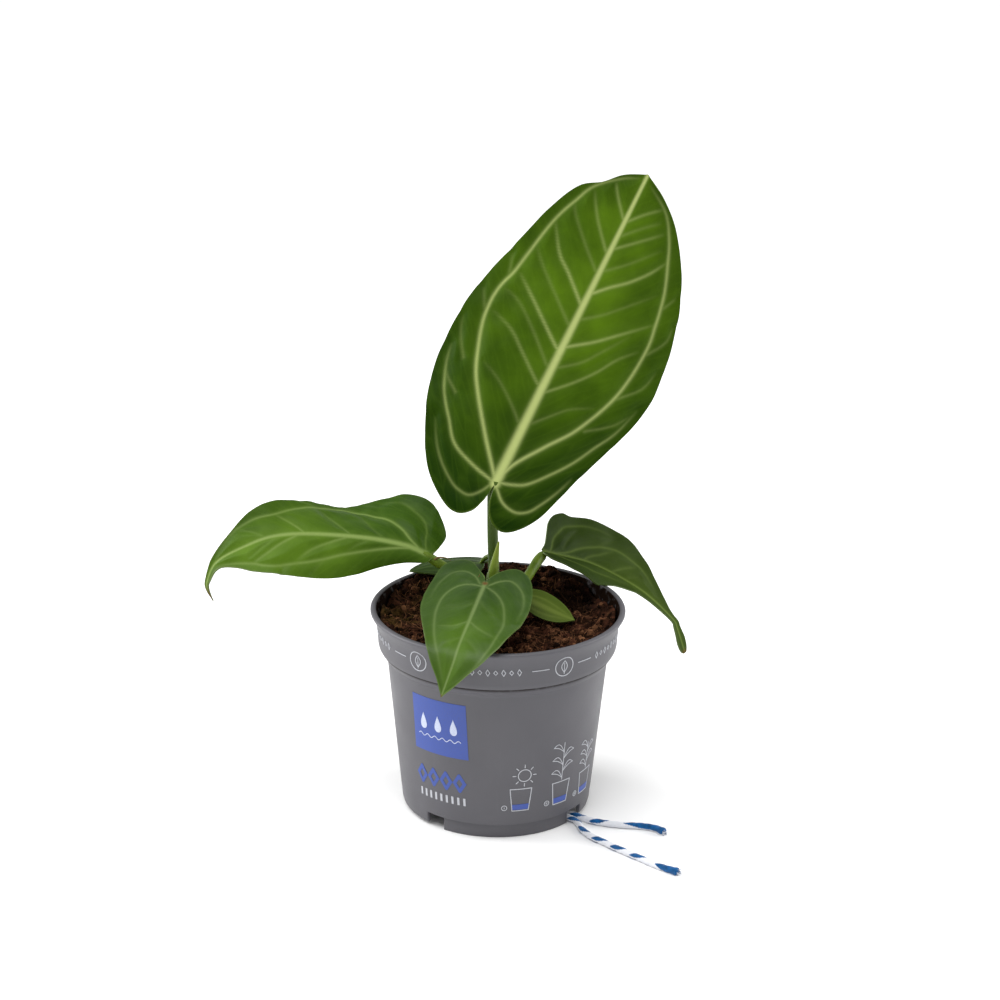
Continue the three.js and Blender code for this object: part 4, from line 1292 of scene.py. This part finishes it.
FOOT_PROFILE = ((FOOT_R - FOOT_T, 0), (FOOT_R, 0), (FOOT_R, FLOOR_Z + 0.6), (FOOT_R - FOOT_T, FLOOR_Z + 0.6))
SKIRT_PROFILE = (
    (BASE_R - 2, SKIRT_Z + 0.3), (BASE_R - 1.2, SKIRT_Z), (BASE_R - 0.5, SKIRT_Z + 0.4),
    (BASE_R, SKIRT_Z + 2.4), (BASE_R + 0.28, FLOOR_Z + 1.4), (BASE_R - 2, FLOOR_Z + 0.6),
)


class ANTHURIUM_OT_pot(bpy.types.Operator):
    """Add the pot with its foot rims, notches and drain holes"""

    bl_idname = "anthurium.pot"
    bl_label = "Pot"

    def execute(self, context):
        settings = context.scene.anthurium_pot
        profile = [(0, FLOOR_Z), *POT_PROFILE, (0, FLOOR_Z + FLOOR_T)]
        body = spin("nursery_pot", profile, settings.segments)
        feet = []
        for half in (0, 180):
            start = half + FOOT_MID_DEG - FOOT_HALF_DEG
            feet.append(spin("foot", FOOT_PROFILE, 36, 2 * FOOT_HALF_DEG, start))
            start = half + FOOT_MID_DEG + FOOT_HALF_DEG + NOTCH_DEG
            feet.append(spin("skirt", SKIRT_PROFILE, 36, 180 - 2 * (FOOT_HALF_DEG + NOTCH_DEG), start))
        for foot in feet:
            modify(foot, "BEVEL", width=0.35, segments=2, limit_method="ANGLE", angle_limit=math.radians(50))
            modify(body, "BOOLEAN", operation="UNION", object=foot, solver="EXACT")
            bpy.data.objects.remove(foot)
        for turn in DRAIN_DEG:
            deselect()
            bpy.ops.mesh.primitive_cylinder_add(
                vertices=32, radius=DRAIN_R, depth=12, location=around(DRAIN_RING_R, turn, FLOOR_Z))
            drain = context.object
            modify(body, "BOOLEAN", operation="DIFFERENCE", object=drain, solver="EXACT")
            bpy.data.objects.remove(drain)
        body.data.materials.clear()
        body.data.materials.append(plastic_material(settings))
        smooth(body, 32)
        place(body)
        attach(body, "root")
        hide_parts("pot")
        return {"FINISHED"}


# Prints: flat shapes of [across, up] in millimetres, wrapped on the pot's wall about a turn and height

BAND_Z = 89.0
BADGES = 5
FIRST_BADGE_DEG = -39.5
BLOCK_AT = (-32.5, 55.3)
DRAWINGS = ((14.3, 14.8), (40.2, 14.4), (62.5, 14.0))
SUN_AT = (1.5, 18.5)


class Print:
    """Collects wrapped shapes of one ink."""

    def __init__(self, lift):
        self.vertices = []
        self.faces = []
        self.lift = lift

    def strip(self, turn, height, left, right):
        """A band between two lines of flat points."""
        base = len(self.vertices)
        radii, heights = zip(*POT_PROFILE[:OUTER_POINTS])
        for pair in zip(left, right):
            for u, v in pair:
                radius = float(np.interp(height + v, heights, radii)) + self.lift
                self.vertices.append(around(radius, turn + math.degrees(u / radius), height + v))
        for k in range(base, base + 2 * len(left) - 2, 2):
            self.faces.append((k, k + 1, k + 3, k + 2))

    def stroke(self, turn, height, points, width, closed=False):
        """A line of that width through flat points, cut into short steps so that it wraps."""
        line = [Vector(p) for p in points]
        if closed:
            line.append(line[0])
        for a, b in zip(line, line[1:]):
            steps = max(int((b - a).length / 1.2), 1)
            ahead = (b - a).normalized()
            side = Vector((-ahead.y, ahead.x)) * width / 2
            a = a - ahead * width * 0.4
            b = b + ahead * width * 0.4
            dots = [a.lerp(b, i / steps) for i in range(steps + 1)]
            self.strip(turn, height, [d + side for d in dots], [d - side for d in dots])

    def ring(self, turn, height, centre, radius, width):
        dots = [2 * math.pi * i / 40 for i in range(41)]
        sides = [[(centre[0] + r * math.cos(a), centre[1] + r * math.sin(a)) for a in dots]
                 for r in (radius + width / 2, max(radius - width / 2, 0.0))]
        self.strip(turn, height, *sides)

    def block(self, turn, height, width, tall, rows=12):
        """A filled block centred on its place."""
        cols = max(int(width / 1.2), 2)
        across = [-width / 2 + width * k / cols for k in range(cols + 1)]
        for i in range(rows):
            low, high = (-tall / 2 + tall * (i + k) / rows for k in (0, 1))
            self.strip(turn, height, [(u, high) for u in across], [(u, low) for u in across])

    def drop(self, turn, height, centre, size):
        """A filled water drop."""
        outline = []
        for i in range(25):
            a = 2 * math.pi * i / 24
            outline.append((centre[0] + size * 0.62 * math.sin(a) * math.sin(a / 2) ** 1.6,
                            centre[1] + size * math.cos(a)))
        self.strip(turn, height, outline, [(centre[0], centre[1] - size * 0.2)] * len(outline))

    def make(self, name, material):
        obj = new_mesh(name, self.vertices, self.faces)
        clean(obj, 0.0005)
        modify(obj, "SOLIDIFY", thickness=0.16, offset=0.0, use_rim=True)
        obj.data.materials.append(material)
        place(obj)
        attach(obj, "root")


class ANTHURIUM_OT_prints(bpy.types.Operator):
    """Add plain printed marks of the usual kind on the pot"""

    bl_idname = "anthurium.prints"
    bl_label = "Prints"

    def execute(self, context):
        settings = context.scene.anthurium_pot
        white, blue, over = Print(0.05), Print(0.05), Print(0.17)

        def diamond(ink, turn, low, u, wide, tall, width):
            ink.stroke(turn, low, [(u, -tall), (u + wide, 0), (u, tall), (u - wide, 0)], width, True)

        for n in range(BADGES):
            turn = FIRST_BADGE_DEG + 360 / BADGES * n
            white.ring(turn, BAND_Z, (0, 0), 4.7, 0.4)
            for side in (-1, 1):
                arc = [(side * 1.5 * math.sin(math.pi * t / 8), -2.9 + 5.8 * t / 8) for t in range(9)]
                white.stroke(turn, BAND_Z, arc, 0.35)
            white.stroke(turn, BAND_Z, [(0, -3.6), (0, 1.6)], 0.3)
            white.stroke(turn, BAND_Z, [(8, 0), (16, 0)], 0.35)
            white.stroke(turn, BAND_Z, [(-16, 0), (-8, 0)], 0.35)
            for k in range(9):
                diamond(white, turn, BAND_Z, 20.5 + 3.6 * k, 0.9, 1.1 if k % 2 else 1.6, 0.32)
        blue.block(*BLOCK_AT, 29.6, 28.4)
        for k in (-1, 0, 1):
            over.drop(*BLOCK_AT, (8.2 * k, 1.8), 4.2)
        wave = [(-11.5 + 0.5 * k, -5.6 + 0.7 * math.sin(k * 0.75)) for k in range(47)]
        over.stroke(*BLOCK_AT, wave, 0.35)
        for k in range(4):
            diamond(blue, -33.5, 28.0, -10.5 + 7 * k, 2.5, 4, 1.6)
        for k in range(9):
            white.stroke(-33, 18.3, [(-12 + 3 * k, -1.5), (-12 + 3 * k, 1.5)], 1.1)
        level = [(-1 + k / 6, 0.5) for k in range(13)]
        for number, (turn, low) in enumerate(DRAWINGS):
            white.stroke(turn, low, [(-5.2, 11.5), (-3.9, 0), (3.9, 0), (5.2, 11.5)], 0.38, True)
            blue.strip(turn, low, [(4.2 * u, v + 2.8) for u, v in level], [(3.7 * u, v) for u, v in level])
            white.ring(turn, low, (-7.6, 1.7), 1.25, 0.3)
            for k in range(number + 1):
                tally = -7.6 + 0.5 * (k - number / 2)
                white.stroke(turn, low, [(tally, 1.2), (tally, 2.2)], 0.22)
        white.ring(*DRAWINGS[0], SUN_AT, 3.1, 0.38)
        for k in range(8):
            a = math.pi * k / 4
            ray = [(SUN_AT[0] + r * math.cos(a), SUN_AT[1] + r * math.sin(a)) for r in (4.2, 5.6)]
            white.stroke(*DRAWINGS[0], ray, 0.38)
        for at, tall in zip(DRAWINGS[1:], (22, 16)):
            white.stroke(*at, [(0, 12.5), (0, 10 + tall)], 0.3)
            for k in range(5):
                side = 1 if k % 2 else -1
                foot = 13.5 + k * tall / 6.5
                for bend in (0.3, 1.1):
                    leaf = [(side * 6.2 * t, foot + 3.4 * t + 2.6 * bend * math.sin(math.pi * t))
                            for t in np.linspace(0, 1, 9)]
                    white.stroke(*at, leaf, 0.3)
        grey = (*settings.plastic, 1)
        white.make("print_pale", ink_material("ink_pale", srgb(186, 188, 194), grey))
        blue.make("print_panel", ink_material("ink_blue", (*settings.ink, 1), grey))
        over.make("print_marks", ink_material("ink_marks", srgb(196, 204, 226), (*settings.ink, 1)))
        return {"FINISHED"}


def soil_top(x, y):
    """The part's own height of the soil, with the looks' lumps and crumbs on top."""
    dips = sum(depth * np.exp(-((x - cx) ** 2 + (y - cy) ** 2) / size ** 2)
               for cx, cy, size, depth in HOLLOWS)
    plain = (SOIL_Z + SOIL_BACK_RISE * np.exp(-((y - 46) ** 2) / 500)
             + 1.2 * np.sin(x * 0.21 + 1.3) * np.sin(y * 0.24 + 0.4)
             + 0.8 * np.sin(x * 0.47 + y * 0.31) - dips)
    at = Vector((x, y, 0))
    lumps = noise.fractal(at * 0.16, 0.9, 2.1, 4)
    crumbs = noise.fractal(at * 0.62 + Vector((7, 3, 1)), 0.7, 2.2, 4)
    bank = EDGE_BANK * min(max((math.hypot(x, y) - 42) / 12, 0), 1) ** 2
    return float(plain) + (1.5 * lumps + 0.75 * crumbs + bank)


class ANTHURIUM_OT_soil(bpy.types.Operator):
    """Add the crumbly soil with its loose crumbs and fibres"""

    bl_idname = "anthurium.soil"
    bl_label = "Soil"

    def execute(self, context):
        settings = context.scene.anthurium_soil
        low = FLOOR_Z + FLOOR_T + 0.3
        side = [(BASE_R - 1.5 - WALL, low), (CREASE_R - WALL - 0.7, CREASE_Z - 1),
                (BAND_R - WALL - 0.7, CREASE_Z + 8.4)]
        edge = BAND_R - WALL + 0.1
        rings = 104
        top = [(edge * (rings - i) / rings, SOIL_Z) for i in range(rings)]
        obj = spin("soil_mix", [(0, low), *side, *top, (0, SOIL_Z)], 300)
        points = points_of(obj)
        for p in points:
            if p[2] > SOIL_Z - 0.5:
                p[2] = soil_top(p[0], p[1])
        move_points(obj, points)
        paint(obj, "tint", [0.5] * len(points))
        material = soil_material(settings)
        obj.data.materials.append(material)
        smooth(obj)
        place(obj)
        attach(obj, "root")
        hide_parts("soil")
        scatter(settings, material)
        return {"FINISHED"}


def scatter(settings, material):
    """Crumbs and fibres on the soil, each a copy of one small form."""
    draw = np.random.default_rng(SOIL_SEED)
    deselect()
    bpy.ops.mesh.primitive_ico_sphere_add(subdivisions=1, radius=1)
    seed = bpy.context.object
    form = points_of(seed)
    form_faces = np.array([tuple(p.vertices) for p in seed.data.polygons])
    bpy.data.objects.remove(seed)
    vertices, faces, tints = [], [], []

    def spot(limit):
        r = limit * math.sqrt(draw.uniform())
        a = draw.uniform(0, 2 * math.pi)
        return r * math.cos(a), r * math.sin(a)

    def keep(bit, bit_faces, tint):
        faces.append(np.array(bit_faces) + sum(len(v) for v in vertices))
        vertices.append(bit)
        tints.append(np.full(len(bit), tint))

    for _ in range(settings.crumbs):
        x, y = spot(BAND_R - WALL - 1.2)
        size = CRUMB_LEAST + CRUMB_SPAN * draw.uniform() ** 3
        turn = np.linalg.qr(draw.normal(size=(3, 3)))[0]
        bit = form * draw.uniform(0.75, 1.25, (len(form), 1)) * draw.uniform(0.6, 1.3, 3) * size
        bit = bit @ turn.T
        bit[:, 2] = np.maximum(bit[:, 2], -size)
        keep(bit + (x, y, soil_top(x, y) + 0.2 * size), form_faces, draw.uniform(0, 1) ** 1.3)
    limit = BAND_R - WALL - 1.0
    last = (FIBRE_STEPS - 1) * 3
    strip = [(i * 3 + k, i * 3 + (k + 1) % 3) for i in range(FIBRE_STEPS - 1) for k in range(3)]
    sheets = [face for a, b in strip for face in ((a, b, b + 3), (a, b + 3, a + 3))]
    sheets += [(0, 2, 1), (last, last + 1, last + 2)]
    for _ in range(settings.fibres):
        x, y = spot(BAND_R - WALL - 5)
        length = draw.uniform(*FIBRE_LENGTHS)
        heading = draw.uniform(0, 2 * math.pi)
        bend = draw.uniform(-1.3, 1.3)
        line = []
        for s in (i / (FIBRE_STEPS - 1) for i in range(FIBRE_STEPS)):
            angle = heading + bend * s
            x += length / FIBRE_STEPS * math.cos(angle)
            y += length / FIBRE_STEPS * math.sin(angle)
            far = math.hypot(x, y)
            if far > limit:
                x, y = x * limit / far, y * limit / far
            lift = 0.12 + draw.uniform(0, 0.5) * math.sin(math.pi * s)
            line.append((x, y, soil_top(x, y) + lift))
        line = np.array(line)
        thick = draw.uniform(0.08, 0.2)
        across, over = frames_along(line)
        rings = [line + thick * (across * math.cos(a) + over * math.sin(a)) for a in (0, 2.1, 4.2)]
        keep(np.stack(rings, 1).reshape(-1, 3), sheets, draw.uniform(0.35, 1))
    obj = new_mesh("soil_bits", np.vstack(vertices), np.vstack(faces))
    paint(obj, "tint", np.concatenate(tints))
    obj.data.materials.append(material)
    clean(obj)
    place(obj)
    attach(obj, "root")


class ANTHURIUM_OT_leaves(bpy.types.Operator):
    """Add the six open leaves, each with its stalk and its raised veins below"""

    bl_idname = "anthurium.leaves"
    bl_label = "Leaves"

    def execute(self, context):
        settings = context.scene.anthurium_leaf
        below = under_material("leaf_below", srgb(78, 98, 44), srgb(112, 130, 68))
        fresh = stalk_material("leaf_stalk", srgb(72, 96, 14), srgb(104, 126, 32), srgb(78, 52, 28))
        grown = stalk_material("leaf_stalk_grown", srgb(44, 66, 4), srgb(72, 94, 16), srgb(66, 48, 22))
        husk = stalk_material("dry_scale", srgb(120, 104, 56), srgb(88, 66, 34), srgb(78, 52, 28))
        for name, spec in LEAVES.items():
            stem = grown if name == "leaf_upright" else fresh
            above = leaf_material(name + "_above", *LEAF_COLOURS[name])
            obj, blade = leaf_blade(name + "_blade", spec, settings, (above, below))
            parts = [obj, *ridges(name, blade, settings.relief / MM, stem), stalk(name, blade, stem)]
            for route in spec["scales"]:
                path = even_curve(route, 0.6)
                parts.append(tube(name + "_scale", path, np.linspace(0.75, 0.12, len(path)), 1, husk))
            obj = join(name + "_grown", parts)
            place(obj)
            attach(obj, "root")
            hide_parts(name)
        return {"FINISHED"}


class ANTHURIUM_OT_spike(bpy.types.Operator):
    """Add the next leaf, still rolled to a spike"""

    bl_idname = "anthurium.spike"
    bl_label = "Rolled leaf"

    def execute(self, context):
        x, y = SPIKE[0][:2]
        path = even_curve([(x, y, STEM_FOOT_Z), (x, y, STEM_FOOT_Z + 7), *SPIKE], 0.5)
        share = np.linspace(0, 1, len(path))
        taper = np.clip((share - SPIKE_TAPER_FROM) / (1 - SPIKE_TAPER_FROM), 0, 1)
        radius = SPIKE_R * (1 - taper ** 1.6) + SPIKE_TIP_R * taper
        obj = tube("new_leaf_rolled", path, radius, 10, spike_material())
        points = points_of(obj)
        out = points - np.array([path[np.argmin(np.abs(path[:, 2] - p[2]))] for p in points])
        out[:, 2] = 0
        size = np.linalg.norm(out[:, :2], axis=1, keepdims=True)
        # The free edge of the rolled blade: a step in the radius that winds up the spike
        rise = (points[:, 2] - STEM_FOOT_Z) / 48
        seam = (np.arctan2(out[:, 1], out[:, 0]) + 1.9 + 2.2 * rise) % (2 * math.pi) / (2 * math.pi)
        step = 0.16 * seam - 0.06
        move_points(obj, points + out * step[:, None] * np.minimum(size, 1))
        smooth(obj, 40)
        place(obj)
        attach(obj, "root")
        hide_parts("new_leaf")
        return {"FINISHED"}


class ANTHURIUM_PT_panel(bpy.types.Panel):
    """The plant's pieces and settings"""

    bl_idname = "ANTHURIUM_PT_panel"
    bl_label = "Potted anthurium"
    bl_space_type = "VIEW_3D"
    bl_region_type = "UI"
    bl_category = "Anthurium"

    def draw(self, context):
        for key, group in SETTINGS.items():
            for name in group.__annotations__:
                self.layout.prop(getattr(context.scene, key), name)
        for operator in OPERATORS:
            self.layout.operator(operator.bl_idname)


OPERATORS = (
    ANTHURIUM_OT_stage,
    ANTHURIUM_OT_wick,
    ANTHURIUM_OT_pot,
    ANTHURIUM_OT_prints,
    ANTHURIUM_OT_soil,
    ANTHURIUM_OT_leaves,
    ANTHURIUM_OT_spike,
)
CLASSES = (*SETTINGS.values(), *OPERATORS, ANTHURIUM_PT_panel)


def register():
    for item in CLASSES:
        bpy.utils.register_class(item)
    for key, group in SETTINGS.items():
        setattr(bpy.types.Scene, key, bpy.props.PointerProperty(type=group))


def unregister():
    for key in SETTINGS:
        delattr(bpy.types.Scene, key)
    for item in reversed(CLASSES):
        bpy.utils.unregister_class(item)


def main():
    register()
    bpy.ops.anthurium.stage()
    bpy.ops.anthurium.wick()
    bpy.ops.anthurium.pot()
    bpy.ops.anthurium.prints()
    bpy.ops.anthurium.soil()
    bpy.ops.anthurium.leaves()
    bpy.ops.anthurium.spike()
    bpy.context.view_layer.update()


if __name__ == "__main__":
    main()
